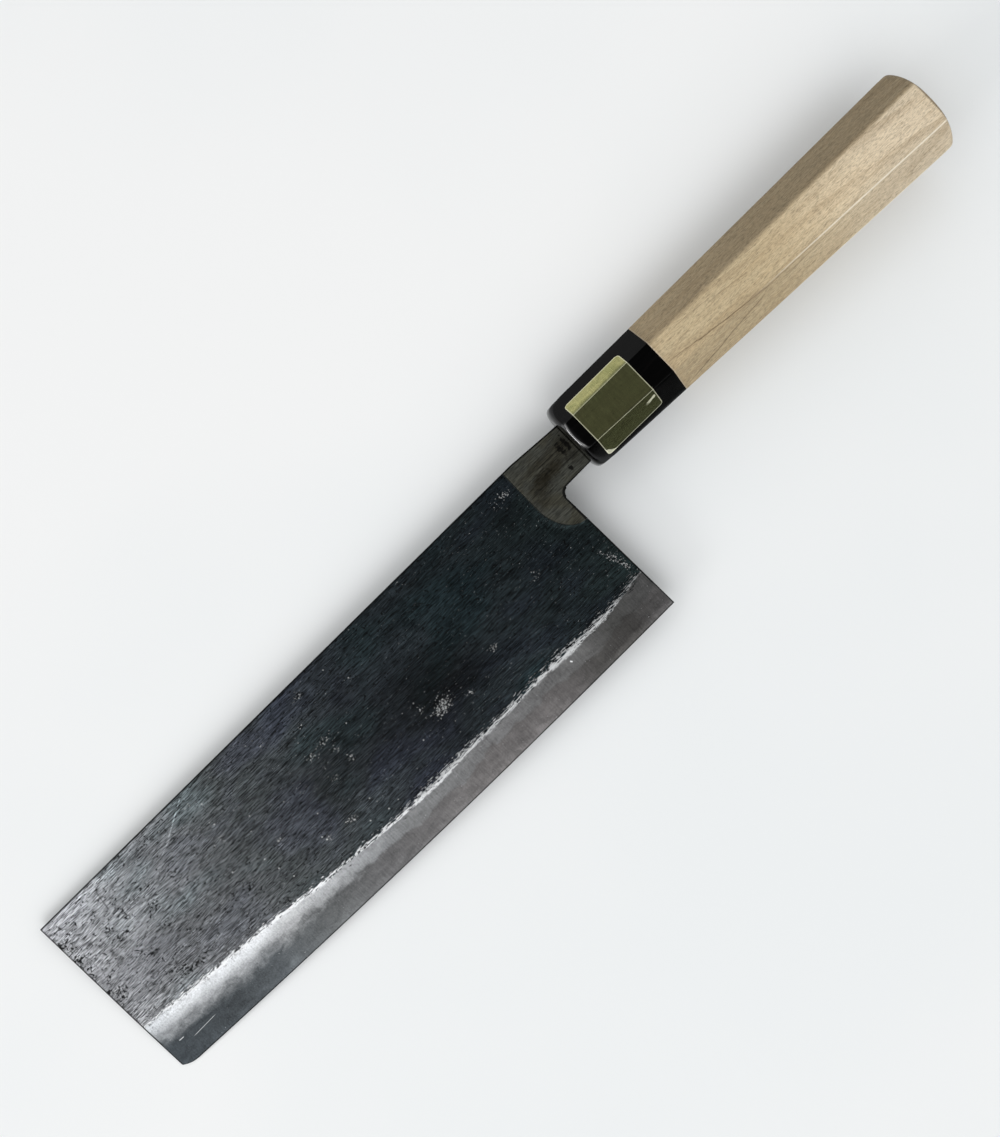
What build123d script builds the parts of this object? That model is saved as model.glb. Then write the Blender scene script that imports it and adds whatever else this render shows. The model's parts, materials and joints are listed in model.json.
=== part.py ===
from build123d import *
import os
from math import atan2, pi, sqrt, tan

# A nakiri knife, lying on its right side as it rests on a table.
# The sizes below are measured on the knife itself: X runs from tip to butt, Y up to the spine and
# Z out of the left side. X = 0 is where the heel line meets the spine line, which is Y = 0.

# Blade outline
blade_length = 166.1         # along the spine
belly_height = 52.15         # spine to edge where the blade is deepest
belly_setback = 52.0         # from the heel to that place
edge_radius = 3050.0         # the long sweep of the cutting edge
heel_lean = 1.35             # how far the heel corner stands behind the top of the heel line
tip_lean = 0.35              # how far the lower end of the tip line stands behind its upper end
toe_length = 4.4             # rounded corner between tip line and edge
toe_height = 1.35

# Blade section
spine_thickness_heel = 3.6
spine_thickness_tip = 2.0
face_taper = 0.8             # how much thinner the blade is at belly depth than at the spine
edge_thickness = 0.16
bevel_height = 10.0
# Places of the bevel line: share of the blade's length from the heel, share of the bevel's height
bevel_line_shares = (
    (0, 1.25),
    (0.1, 1.01),
    (0.24, 1.07),
    (0.35, 1.0),
    (0.47, 0.96),
    (0.58, 1.05),
    (0.75, 1.33),
    (0.83, 1.39),
    (0.96, 1.49),
    (1, 1.49),
)
core_thickness_share = 0.62  # hard core's part of the blade's thickness

# Collar, neck and tang
collar_reach = 6.6           # how far the collar laps into the blade
collar_straight = 12.2       # its straight side, before it curves to the heel line
collar_depth = 22.1
neck_length = 10.6           # heel line to ferrule
neck_drop = 0.95             # how far the neck's top falls below the spine line
neck_drop_start = 4.0        # where that slope starts, on the blade's side of the heel line
neck_depth_heel = 13.05      # spine line to the neck's underside
neck_depth_ferrule = 12.9
notch_radius = 1.9
tang_inset = 0.5             # shoulder all round, where the neck meets the ferrule
tang_length = 66.0
tang_end_height = 6.0
tang_end_thickness = 2.0

# Handle, an octagon that widens to the butt on its edge side
handle_length = 113.7
ferrule_length = 28.1
handle_rise = 3.35           # how far the handle's back stands above the spine line
handle_width_front = 18.9
handle_width_butt = 23.0
handle_thickness_front = 17.2
handle_thickness_butt = 20.0
corner_cut_width = 5.45      # the facets between flats and sides, measured along the flats
corner_cut_thickness = 4.95  # and along the sides
nose_radius = 4.0            # turned rounding of the ferrule's front
butt_radius = 3.2            # turned rounding of the butt
turning_margin = 0.1

# Inside the handle
ferrule_wall = 3.0           # front wall, which the tang passes
ferrule_side_wall = 1.6      # round the handle's tenon, at the middle of the front's flats
resin_gap = 0.35             # cast resin round the tang
resin_end = 1.5

# Foil label, folded over the three upper facets
label_setback = 4.0          # from the ferrule's front
label_length = 17.7
label_width = 15.7           # straight across, before it is folded
label_top = 0.85             # how far its upper side stands above the spine line
label_corner = 0.9
foil_thickness = 0.12

overrun = 5.0                # how far cutting shapes pass the faces that they cut

ferrule_front = neck_length
ferrule_back = ferrule_front + ferrule_length
butt = ferrule_front + handle_length
tang_end = ferrule_front + tang_length
tenon_radius = handle_thickness_front / 2 - ferrule_side_wall


def edge_y(x):
    """Height of the cutting edge: an arc whose lowest point is the belly."""
    run = x + belly_setback
    return edge_radius - sqrt(edge_radius**2 - run**2) - belly_height


def heel_x(y):
    """Place of the heel line at a height."""
    return heel_lean * -y / belly_height


def tip_x(y):
    """Place of the tip line at a height."""
    return tip_lean * -y / belly_height - blade_length


def along(x, start, end, front, back):
    """A size that changes evenly from front to back between two places on the knife."""
    return front + (back - front) * (x - start) / (end - start)


def face_z(x, y):
    """Half the blade's thickness: its flat faces close up towards the tip and the edge."""
    spine = along(x, -blade_length, 0, spine_thickness_tip, spine_thickness_heel)
    return (spine + face_taper * y / belly_height) / 2


def handle_width(x):
    """The handle's size from back to edge side at a place."""
    return along(x, ferrule_front, butt, handle_width_front, handle_width_butt)


def handle_thickness(x):
    """The handle's size from left to right at a place."""
    return along(x, ferrule_front, butt, handle_thickness_front, handle_thickness_butt)


def handle_middle(x):
    """Height of the handle's middle line at a place."""
    return handle_rise - handle_width(x) / 2


def corner_radii(x):
    """Distances from the handle's middle to the corners of its octagon: of the sides, of the flats."""
    half_width, half = handle_width(x) / 2, handle_thickness(x) / 2
    side_corner = sqrt(half_width**2 + (half - corner_cut_thickness)**2)
    flat_corner = sqrt((half_width - corner_cut_width)**2 + half**2)
    return side_corner, flat_corner


def turned_radius(end, other_end):
    """The lathe's largest radius for an end of the handle: it clears the widest corners."""
    return max(*corner_radii(end), *corner_radii(other_end)) + turning_margin


def resting_plane():
    """The knife's own plane above the table.

    The knife lies on the lower bevel where it meets the tip line, and on the corner that the
    turned nose of the ferrule leaves at the edge side of its lower flat. The origin is on the
    table, below the middle of the knife.
    """
    tip_bevel = bevel_height * bevel_line_shares[-1][1]
    toe = edge_y(-blade_length) + toe_height
    shinogi = edge_y(-blade_length) + tip_bevel
    shinogi_z = face_z(-blade_length, shinogi)
    toe_z = along(toe_height, 0, tip_bevel, edge_thickness / 2, shinogi_z)
    shinogi_touch = Vector(tip_x(shinogi), shinogi, -shinogi_z)
    toe_touch = Vector(tip_x(toe), toe, -toe_z)
    flat_radius = turned_radius(ferrule_front, ferrule_back) - nose_radius
    rounded = corner_radii(ferrule_front)[1] - flat_radius
    nose_x = ferrule_front + nose_radius - sqrt(nose_radius**2 - rounded**2)
    nose_y = handle_rise - handle_width(nose_x) + corner_cut_width
    nose_touch = Vector(nose_x, nose_y, -handle_thickness(nose_x) / 2)
    up = (toe_touch - shinogi_touch).cross(nose_touch - shinogi_touch).normalized()
    forward = Vector(0, 1, 0).cross(up)
    middle = Vector((butt - blade_length) / 2, (handle_rise - belly_height) / 2, 0)
    below = up.dot(nose_touch - middle) / up.Z
    table = Plane(origin=middle + Vector(0, 0, below), x_dir=forward, z_dir=up)
    return Plane(table.location.inverse())


knife = resting_plane()


def across(x):
    """The plane square to the knife's length at a place: its X is the knife's Y, its Y the knife's Z."""
    return Plane(knife * Plane.YZ.offset(x))


def face_plane(side, share):
    """The plane of a blade face, or of a layer at a share of the thickness, with its normal outwards."""
    root, tip, deep = Vector(0, 0, 0), Vector(-blade_length, 0, 0), Vector(0, -belly_height, 0)
    for corner in (root, tip, deep):
        corner.Z = side * share * face_z(corner.X, corner.Y)
    outward = (deep - root).cross(tip - root).normalized() * -side
    return Plane(knife * Plane(origin=root, x_dir=root - tip, z_dir=outward))


def octagon(x, grow=0):
    """The handle's section at a place, grown outwards by an even amount."""
    high, low = handle_rise + grow, handle_rise - handle_width(x) - grow
    half = handle_thickness(x) / 2 + grow
    turn = atan2(corner_cut_thickness, corner_cut_width)
    cut_y = corner_cut_width + grow * (1 - tan(turn / 2))
    cut_z = corner_cut_thickness + grow * (1 - tan((pi / 2 - turn) / 2))
    points = [(high, half - cut_z), (high - cut_y, half), (low + cut_y, half), (low, half - cut_z)]
    points += [(y, -z) for y, z in reversed(points)]
    with BuildSketch() as section:
        with BuildLine():
            Polyline(*points, close=True)
        make_face()
    return section.sketch


def octagonal_bar(start, end, grow=0):
    """A length of the handle between two places."""
    with BuildPart() as bar:
        for x in (start, end):
            with BuildSketch(across(x)):
                add(octagon(x, grow))
        loft()
    return bar.part


def turned_shape(end, other_end, rounding):
    """The lathe's shape for an end of the handle: flat, rounded out to clear the widest corners."""
    length = abs(other_end - end)
    inward = (other_end - end) / length
    rim = turned_radius(end, other_end)
    middle = (end, handle_middle(end), 0)
    half_plane = Plane(knife * Plane(origin=middle, x_dir=(inward, 0, 0), z_dir=(0, 0, inward)))
    with BuildPart() as turned:
        with BuildSketch(half_plane):
            with BuildLine():
                Polyline((rounding, rim), (length, rim), (length, 0), (0, 0), (0, rim - rounding))
                RadiusArc((0, rim - rounding), (rounding, rim), rounding)
            make_face()
        revolve(axis=Axis(half_plane.origin, half_plane.x_dir))
    return turned.part


def tapered_tang(end, grow=0):
    """The tang inside the handle, from the ferrule's front to a place, grown by an even amount."""
    neck_height = neck_depth_ferrule - neck_drop
    neck_thickness = 2 * face_z(neck_length, -neck_depth_ferrule)
    with BuildPart() as bar:
        for x in (ferrule_front, end):
            place = (x, ferrule_front, tang_end)
            height = along(*place, neck_height - 2 * tang_inset, tang_end_height)
            thickness = along(*place, neck_thickness - 2 * tang_inset, tang_end_thickness)
            middle = along(*place, -(neck_drop + neck_depth_ferrule) / 2, handle_middle(tang_end))
            with BuildSketch(across(x)):
                with Locations((middle, 0)):
                    Rectangle(height + 2 * grow, thickness + 2 * grow)
        loft()
    return bar.part


def collar_edge():
    """The weld between collar and blade: straight down from the spine, then curved to the heel line."""
    bottom = heel_x(-collar_depth)
    with BuildLine() as weld:
        Line((-collar_reach, 0), (-collar_reach, -collar_straight))
        EllipticalCenterArc(
            (bottom, -collar_straight),
            x_radius=collar_reach + bottom,
            y_radius=collar_depth - collar_straight,
            start_angle=180,
            arc_size=90,
        )
    return weld.line


# The blade before it is told apart into its three layers
with BuildPart() as blade_blank:
    toe_x = tip_x(-belly_height)
    toe_end = (toe_x + toe_length, edge_y(toe_x + toe_length))
    toe_corner = (toe_x, edge_y(toe_x) + toe_height)
    heel_corner = (heel_lean, edge_y(heel_lean))
    with BuildSketch(knife):
        with BuildLine():
            Polyline(toe_corner, (tip_x(0), 0), (-collar_reach, 0))
            add(collar_edge())
            Line((heel_x(-collar_depth), -collar_depth), heel_corner)
            edge = ThreePointArc(heel_corner, (-belly_setback, -belly_height), toe_end)
            TangentArc(toe_end, toe_corner, tangent=edge % 1)
        make_face()
    extrude(amount=spine_thickness_heel, both=True)
    for side in (1, -1):
        split(bisect_by=face_plane(side, 1), keep=Keep.BOTTOM)
    # Each bevel is cut along the straight line from the bevel line down to the edge
    for side in (1, -1):
        for length_share, height_share in bevel_line_shares:
            x = along(length_share, 0, 1, heel_lean + overrun, -blade_length - overrun)
            rise = bevel_height * height_share
            shinogi_z = face_z(x, edge_y(x) + rise)
            slope = (shinogi_z - edge_thickness / 2) / rise
            top = (edge_y(x) + rise + overrun, side * (shinogi_z + overrun * slope))
            bottom = (edge_y(x) - overrun, side * (edge_thickness / 2 - overrun * slope))
            outside = side * (spine_thickness_heel + overrun)
            with BuildSketch(across(x)):
                with BuildLine():
                    Polyline(top, bottom, (bottom[0], outside), (top[0], outside), close=True)
                make_face()
        loft(mode=Mode.SUBTRACT)

with BuildPart() as blade_core:
    add(blade_blank.part)
    for side in (1, -1):
        split(bisect_by=face_plane(side, core_thickness_share), keep=Keep.BOTTOM)

with BuildPart() as left_cladding:
    add(blade_blank.part)
    split(bisect_by=face_plane(1, core_thickness_share), keep=Keep.TOP)

with BuildPart() as right_cladding:
    add(blade_blank.part)
    split(bisect_by=face_plane(-1, core_thickness_share), keep=Keep.TOP)

# Collar, neck and tang: one stainless piece, welded to the blade and ground flush with its faces
with BuildPart() as tang:
    with BuildSketch(knife) as neck_outline:
        with BuildLine():
            add(collar_edge())
            Polyline(
                (-collar_reach, 0),
                (-neck_drop_start, 0),
                (neck_length, -neck_drop),
                (neck_length, -neck_depth_ferrule),
                (heel_x(-neck_depth_heel), -neck_depth_heel),
                (heel_x(-collar_depth), -collar_depth),
            )
        make_face()
        notch = Vector(heel_x(-neck_depth_heel), -neck_depth_heel)
        fillet(neck_outline.vertices().sort_by_distance(notch)[0], notch_radius)
    extrude(amount=spine_thickness_heel, both=True)
    for side in (1, -1):
        split(bisect_by=face_plane(side, 1), keep=Keep.BOTTOM)
    add(tapered_tang(tang_end))

cavity = tapered_tang(tang_end + resin_end, resin_gap)

with BuildPart() as ferrule:
    add(octagonal_bar(ferrule_front, ferrule_back))
    add(turned_shape(ferrule_front, ferrule_back, nose_radius), mode=Mode.INTERSECT)
    with BuildSketch(across(ferrule_front + ferrule_wall)):
        with Locations((handle_middle(ferrule_back), 0)):
            Circle(tenon_radius)
    extrude(amount=ferrule_length, mode=Mode.SUBTRACT)
    add(cavity, mode=Mode.SUBTRACT)

with BuildPart() as handle:
    add(octagonal_bar(ferrule_back, butt))
    add(turned_shape(butt, ferrule_back, butt_radius), mode=Mode.INTERSECT)
    with BuildSketch(across(ferrule_front + ferrule_wall)):
        with Locations((handle_middle(ferrule_back), 0)):
            Circle(tenon_radius)
    extrude(amount=ferrule_length - ferrule_wall)
    add(cavity, mode=Mode.SUBTRACT)

with BuildPart() as tang_resin:
    add(cavity)
    add(tang.part, mode=Mode.SUBTRACT)

with BuildPart() as label:
    add(octagonal_bar(ferrule_front, ferrule_back, foil_thickness))
    with BuildSketch(knife):
        with Locations((ferrule_front + label_setback, label_top)):
            RectangleRounded(label_length, label_width, label_corner, align=(Align.MIN, Align.MAX))
    extrude(amount=handle_thickness_butt, mode=Mode.INTERSECT)
    add(octagonal_bar(ferrule_front, ferrule_back), mode=Mode.SUBTRACT)

pieces = {
    "blade_core": blade_core,
    "left_cladding": left_cladding,
    "right_cladding": right_cladding,
    "tang": tang,
    "ferrule": ferrule,
    "handle": handle,
    "tang_resin": tang_resin,
    "label": label,
}
os.makedirs("parts", exist_ok=True)
for name, piece in pieces.items():
    piece.part.label = name
    export_step(piece.part, f"parts/{name}.step")
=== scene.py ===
import json
import math

import bmesh
import bpy
import numpy as np
from mathutils import Matrix, Vector


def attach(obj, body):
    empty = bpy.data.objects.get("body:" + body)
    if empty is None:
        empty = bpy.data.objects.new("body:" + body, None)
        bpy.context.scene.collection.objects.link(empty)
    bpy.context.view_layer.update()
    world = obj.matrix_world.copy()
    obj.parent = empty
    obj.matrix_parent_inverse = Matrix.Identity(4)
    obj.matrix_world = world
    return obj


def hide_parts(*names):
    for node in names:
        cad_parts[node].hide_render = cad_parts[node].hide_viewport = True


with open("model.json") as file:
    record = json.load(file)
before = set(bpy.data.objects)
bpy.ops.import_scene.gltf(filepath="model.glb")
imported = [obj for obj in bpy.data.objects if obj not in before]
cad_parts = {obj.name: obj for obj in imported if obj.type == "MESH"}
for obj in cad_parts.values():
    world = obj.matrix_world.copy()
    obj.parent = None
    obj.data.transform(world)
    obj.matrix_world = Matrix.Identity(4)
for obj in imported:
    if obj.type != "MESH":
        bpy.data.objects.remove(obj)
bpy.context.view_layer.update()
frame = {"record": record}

# A nakiri knife on a pale table. Sizes are millimetres on the knife itself: X runs from tip to
# butt, Y up to the spine and Z out of the left side, from the place where heel line meets spine.
MM = 0.001
weld_distance = 0.0005
sharp_angle = 32

# Blade
blade_length = 166.1
belly_height = 52.13
belly_setback = 52.0
edge_radius = 3050.0
heel_lean = 1.35
tip_lean = 0.35
toe_length = 4.4
toe_height = 1.35
spine_thickness_heel = 3.6
spine_thickness_tip = 2.0
face_taper = 0.8
edge_thickness = 0.16
bevel_height = 10.0
bevel_overrun = 5.0
bevel_place_shares = (0.0, 0.1, 0.24, 0.35, 0.47, 0.58, 0.75, 0.83, 0.96, 1.0)
bevel_height_shares = (1.25, 1.01, 1.07, 1.0, 0.96, 1.05, 1.33, 1.39, 1.49, 1.49)
lamination_share = 0.56      # of the bevel's height, from the edge
lamination_wave_share = 0.03
lamination_waves = ((1.0, 3.1, 0.0), (0.7, 1.9, 1.0), (0.8, 7.3, 2.0))     # height, length, start
spine_softness = 0.35
rim_softness = 0.2
shinogi_softness = 0.05
forging_relief = 0.025
forging_waves = ((1.0, 14.0, 3), (0.6, 4.0, 5))     # height, length, seed
forging_depth = 1.5      # of the waves' middle below the flat, in forging reliefs
forging_margin = 1.5
blade_columns = 372
rim_columns = (0.0, 0.0003, 0.0006, 0.0009, 0.0012)     # shares of the blade's length

# Collar, neck and tang
collar_reach = 6.6
collar_straight = 12.2
collar_depth = 22.1
neck_length = 10.6
neck_drop = 0.95
neck_drop_start = 4.0
neck_depth_heel = 13.05
neck_depth_ferrule = 12.9
notch_radius = 1.9
neck_softness = 0.28
tang_inset = 0.5
tang_length = 66.0
tang_end_height = 6.0
tang_end_thickness = 2.0
soft_face_area = 10.0     # the most that a face of the soft rims has

# Handle
ferrule_length = 28.1
handle_length = 113.69
handle_rise = 3.35
handle_width_front = 18.9
handle_width_butt = 23.0
handle_thickness_front = 17.2
handle_thickness_butt = 20.0
corner_cut_width = 5.45
corner_cut_thickness = 4.95
nose_radius = 4.0
butt_radius = 3.2
turning_margin = 0.1
crease_radius = 0.4
horn_crease_radius = 0.14
nose_softness = 0.42
butt_softness = 0.2
ferrule_wall = 3.0
ferrule_side_wall = 1.6
resin_gap = 0.35
resin_end = 1.5
joint_softness = 0.1

# Label
label_setback = 4.0
label_length = 17.7
label_top = 0.85
label_width = 15.7
label_corner = 0.9
foil_thickness = 0.12

# Marks on the blade's two sides: x, y, size along, size across, strength
left_marks = {
    "pitted": (
        (-152.6, -15.0, 1.9, 0.9, 1.0), (-154.2, -12.0, 0.8, 1.5, 0.8), (-148.6, -12.9, 0.6, 0.6, 1.0),
        (-148.6, -11.0, 0.9, 0.5, 0.8), (-159.2, -4.1, 0.8, 0.5, 1.0), (-162.7, -6.9, 0.5, 0.4, 0.9),
        (-164.8, -6.5, 1.2, 0.9, 0.9), (-164.4, -9.0, 1.4, 0.6, 0.9), (-164.6, -11.9, 1.6, 1.1, 1.0),
        (-164.9, -16.8, 0.9, 1.0, 0.7), (-162.6, -20.2, 0.8, 0.6, 0.9), (-165.2, -22.9, 0.9, 0.6, 1.0),
        (-163.2, -24.2, 1.3, 0.8, 1.0), (-163.4, -26.2, 1.1, 0.7, 1.0), (-141.6, -15.2, 2.0, 0.8, 0.7),
        (-152.9, -20.7, 0.5, 0.8, 0.7), (-150.1, -23.4, 1.5, 0.7, 1.0), (-143.4, -20.8, 1.4, 0.7, 0.6),
        (-145.6, -28.2, 0.8, 0.5, 0.8), (-150.2, -29.3, 0.5, 1.0, 0.8), (-151.3, -31.2, 1.2, 0.5, 0.7),
        (-147.7, -31.6, 1.4, 1.0, 0.8), (-144.6, -33.2, 3.4, 0.6, 0.9), (-133.0, -12.4, 1.5, 1.2, 0.5),
        (-122.0, -28.6, 1.2, 1.4, 0.4), (-104.5, -32.6, 1.2, 0.7, 0.5), (-69.0, -21.0, 2.4, 1.2, 0.4),
    ),
    "flecked": (
        (-118.3, -3.8, 1.2, 0.7, 0.8), (-117.9, -15.1, 1.0, 1.0, 0.8), (-108.0, -25.4, 1.4, 1.0, 0.7),
        (-95.0, -5.8, 0.8, 0.8, 1.0), (-84.7, -9.2, 0.8, 0.7, 1.0), (-79.8, -3.6, 1.6, 0.9, 0.9),
        (-88.1, -16.8, 1.6, 0.9, 1.0), (-83.0, -15.8, 2.4, 0.8, 0.8), (-82.0, -19.4, 1.0, 0.8, 0.8),
        (-87.6, -24.6, 1.2, 1.2, 0.7), (-81.4, -23.4, 1.2, 0.9, 0.9), (-99.4, -33.7, 1.3, 0.9, 0.9),
        (-91.8, -34.4, 1.8, 1.0, 0.9), (-95.6, -20.2, 1.4, 2.6, 0.2), (-56.4, -30.2, 3.4, 2.1, 1.0),
        (-49.6, -32.5, 1.2, 0.9, 0.8), (-60.8, -26.9, 1.2, 1.0, 0.7), (-37.7, -28.6, 1.3, 1.0, 0.9),
        (-10.4, -4.0, 1.9, 1.2, 0.9), (-13.8, -4.4, 0.8, 1.2, 0.6), (-1.7, -33.4, 0.8, 1.6, 1.0),
        (-2.8, -30.6, 0.6, 1.2, 0.9), (-0.8, -36.8, 0.9, 1.8, 1.0), (-18.6, -23.0, 3.4, 1.6, 0.4),
    ),
    "cloudy": (
        (-153.0, -2.2, 8.0, 2.0, 0.5), (-133.0, -20.0, 7.0, 5.0, 0.4), (-87.0, -7.5, 7.0, 3.0, 0.4),
        (-134.0, -1.6, 18.0, 1.6, 0.35), (-148.0, -16.0, 6.0, 4.0, 0.3), (-160.2, -14.6, 2.0, 3.0, 0.3),
        (-82.0, -34.0, 11.0, 3.6, 0.8), (-52.0, -13.0, 16.0, 3.4, 0.5), (-163.0, -34.0, 3.0, 2.6, 0.4),
        (-110.0, -28.0, 9.0, 4.0, 0.3), (-28.0, -21.0, 9.0, 9.0, 0.2),
    ),
    "dark": (
        (-162.6, -9.4, 1.0, 0.7, 0.4), (-160.2, -11.0, 0.9, 1.0, 0.9), (-158.6, -13.4, 0.6, 1.0, 0.7),
        (-157.4, -16.2, 0.6, 1.5, 0.9), (-157.3, -19.0, 0.6, 1.2, 0.5), (-147.0, -31.5, 9.0, 3.0, 0.25),
        (-84.0, -20.0, 12.0, 7.0, 0.3), (-140.0, -24.5, 14.0, 1.6, 0.3), (-146.0, -8.4, 16.0, 1.4, 0.2),
        (-54.0, -26.0, 12.0, 7.0, 0.8), (-44.0, -29.0, 7.0, 3.0, 0.4), (-13.5, -8.0, 4.0, 5.0, 0.7),
        (-15.0, -26.0, 5.0, 5.0, 0.3), (-135.0, -3.0, 6.0, 3.0, 0.3), (-100.0, -2.5, 6.0, 2.5, 0.3),
    ),
}
right_marks = {
    "pitted": (
        (-161.0, -9.0, 1.5, 1.2, 0.9), (-149.5, -27.5, 2.2, 1.0, 1.0), (-156.5, -33.0, 1.4, 0.8, 0.8),
        (-137.0, -6.5, 1.2, 0.9, 0.8), (-121.0, -22.0, 1.8, 1.1, 0.7), (-96.0, -12.5, 1.4, 0.8, 0.7),
        (-64.5, -31.5, 1.6, 1.0, 0.6), (-40.0, -9.0, 1.3, 0.9, 0.5),
    ),
    "flecked": (
        (-128.0, -31.0, 2.0, 1.0, 0.9), (-107.0, -6.0, 1.0, 0.8, 0.9), (-90.5, -27.0, 2.6, 1.6, 0.9),
        (-71.0, -15.0, 1.2, 0.9, 0.9), (-52.0, -24.0, 2.8, 1.2, 0.8), (-31.0, -33.0, 1.6, 1.0, 0.9),
        (-16.0, -8.0, 2.0, 1.6, 0.9), (-2.0, -31.0, 0.9, 2.4, 1.0),
    ),
    "cloudy": ((-140.0, -5.0, 14.0, 3.0, 0.7), (-85.0, -30.0, 16.0, 5.0, 0.6), (-30.0, -8.0, 8.0, 5.0, 0.4)),
    "dark": ((-118.0, -20.0, 14.0, 6.0, 0.5), (-54.0, -10.0, 18.0, 8.0, 0.4), (-150.0, -20.0, 5.0, 4.0, 0.5)),
}
side_marks = {1: left_marks, -1: right_marks}

# Scratches on the left side: x and y of both ends, half width, and how much paler or darker they are
scratches = (
    (-149.4, -2.6, -150.5, -8.8, 0.34, -0.6),
    (-116.0, 0.1, -128.6, -6.9, 0.22, 1.5),
    (-126.0, -6.1, -132.0, -8.2, 0.2, 1.3),
    (-63.6, -27.4, -64.8, -34.4, 0.2, 1.2),
    (-12.45, -4.0, -12.45, -24.0, 0.4, 0.5),
    (-8.75, -7.0, -8.75, -25.5, 0.4, 0.4),
)
bevel_scratches = (
    (-158.7, -45.5, -150.4, -45.3, 0.1, 0.6),
    (-161.9, -43.7, -160.2, -43.8, 0.16, 0.7),
    (-26.8, -44.0, -26.4, -44.6, 0.3, 0.9),
)
pit_depth = 0.06
pit_reach = 1.1

# Dark lines in the wood's figure, in the same way as the scratches
figure_lines = (
    (37.0, -8.6, 70.0, -12.8, 0.24, 0.6),
    (46.0, -9.9, 62.0, -11.8, 0.2, 0.6),
    (39.0, -16.0, 68.0, -13.2, 0.22, 0.7),
    (66.0, -12.4, 84.0, -13.0, 0.2, 0.35),
    (55.0, -5.3, 68.0, -6.9, 0.22, 0.45),
    (46.0, -4.0, 58.0, -4.8, 0.2, 0.3),
    (72.0, -13.8, 96.0, -13.6, 0.24, 0.3),
    (92.0, -10.6, 118.0, -11.6, 0.3, 0.25),
    (44.0, -2.6, 60.0, -1.4, 0.3, 0.25),
)

# Stains of the weld's heat and scorch marks on the neck: x, y, size along, size across, strength
heat_places = (
    (1.0, -7.8, 3.4, 1.3, 1.0), (-1.6, -8.6, 2.4, 1.8, 0.7), (5.0, -7.4, 2.4, 1.6, 0.5),
    (8.4, -6.4, 1.8, 3.0, 0.6), (-3.6, -11.0, 2.0, 2.0, 0.5), (2.6, -4.4, 5.0, 0.7, 0.5),
)
scorch_places = (
    (7.4, -5.9, 0.7, 1.9, 0.85), (9.3, -5.6, 0.5, 2.1, 0.9), (6.2, -10.5, 0.45, 0.9, 0.9),
    (1.6, -7.6, 1.0, 0.4, 0.6),
)

ferrule_front = neck_length
ferrule_back = ferrule_front + ferrule_length
butt = ferrule_front + handle_length
tang_end = ferrule_front + tang_length
tenon_radius = handle_thickness_front / 2 - ferrule_side_wall
tenon_front = ferrule_front + ferrule_wall


def knife_pose(mount_place=(-80.0, -20.0)):
    """The knife's pose in the frame, read from the record's two blade flats."""
    mounts = {mount["name"]: mount for mount in frame["record"]["mounts"]}
    left, right = mounts["left_flat"], mounts["right_flat"]
    up = (Vector(left["axis"]) - Vector(right["axis"])).normalized()
    spineward = up.cross(Vector((1, 0, 0))).normalized()
    buttward = spineward.cross(up)
    turn = Matrix((buttward, spineward, up)).transposed()
    middle = (Vector(left["pos_m"]) + Vector(right["pos_m"])) / 2
    origin = middle - turn @ Vector((*mount_place, 0)) * MM
    return Matrix.Translation(origin) @ turn.to_4x4()


pose = knife_pose()


# Curves of the knife

def along(x, start, end, front, back):
    """A size that changes evenly between two places."""
    return front + (back - front) * (x - start) / (end - start)


def edge_y(x):
    """Height of the cutting edge."""
    run = x + belly_setback
    return edge_radius - np.sqrt(edge_radius**2 - run**2) - belly_height


def flat_half(x, y):
    """Half the blade's thickness on its flats."""
    spine = along(x, -blade_length, 0, spine_thickness_tip, spine_thickness_heel)
    return (spine + face_taper * y / belly_height) / 2


def smooth_table(x, places, values):
    """A curve through a table's values that is smooth at its places."""
    places, values = np.asarray(places), np.asarray(values)
    slopes = np.gradient(values, places)
    cell = np.clip(np.searchsorted(places, x) - 1, 0, len(places) - 2)
    step = places[cell + 1] - places[cell]
    t = np.clip((x - places[cell]) / step, 0, 1)
    return (
        values[cell] * (1 + 2 * t) * (1 - t)**2
        + slopes[cell] * step * t * (1 - t)**2
        + values[cell + 1] * t**2 * (3 - 2 * t)
        + slopes[cell + 1] * step * t**2 * (t - 1)
    )


def bevel_rise(x):
    """Height of the bevel line above the cutting edge."""
    share = along(x, heel_lean + bevel_overrun, -blade_length - bevel_overrun, 0, 1)
    return bevel_height * smooth_table(share, bevel_place_shares, bevel_height_shares)


def lamination_rise(x):
    """Height above the cutting edge at which the core comes out of the cladding, in long waves."""
    wave = sum(height * np.sin(x / length + start) for height, length, start in lamination_waves)
    return bevel_rise(x) * (lamination_share + lamination_wave_share * wave)


def blade_half(x, y):
    """Half the blade's thickness: the flat, a soft shoulder and the bevel."""
    edge, rise = edge_y(x), bevel_rise(x)
    shinogi = flat_half(x, edge + rise)
    bevel = along(y, edge, edge + rise, edge_thickness / 2, shinogi)
    return soft_least(flat_half(x, y), bevel, shinogi_softness)


def soft_least(a, b, softness):
    """The lesser of two values, with a rounded change from one to the other."""
    return -softness * np.logaddexp(-a / softness, -b / softness)


def heel_x(y):
    """Place of the heel line."""
    return heel_lean * -y / belly_height


def tip_x(y, above_edge):
    """Place of the tip line, with the toe's round corner at its lower end."""
    radius = (toe_length**2 + toe_height**2) / (2 * toe_height)
    height = np.clip(above_edge, 0, toe_height)
    toe = toe_length - np.sqrt(2 * radius * height - height**2)
    return tip_lean * -y / belly_height - blade_length + toe


def collar_x(y):
    """Place of the weld between blade and collar, and of the heel line below it."""
    bottom = heel_x(-collar_depth)
    fall = np.clip((-collar_straight - y) / (collar_depth - collar_straight), 0, 1)
    weld = bottom - (collar_reach + bottom) * np.sqrt(1 - fall**2)
    return np.where(y < -collar_depth, heel_x(y), weld)


def handle_width(x):
    return along(x, ferrule_front, butt, handle_width_front, handle_width_butt)


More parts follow.
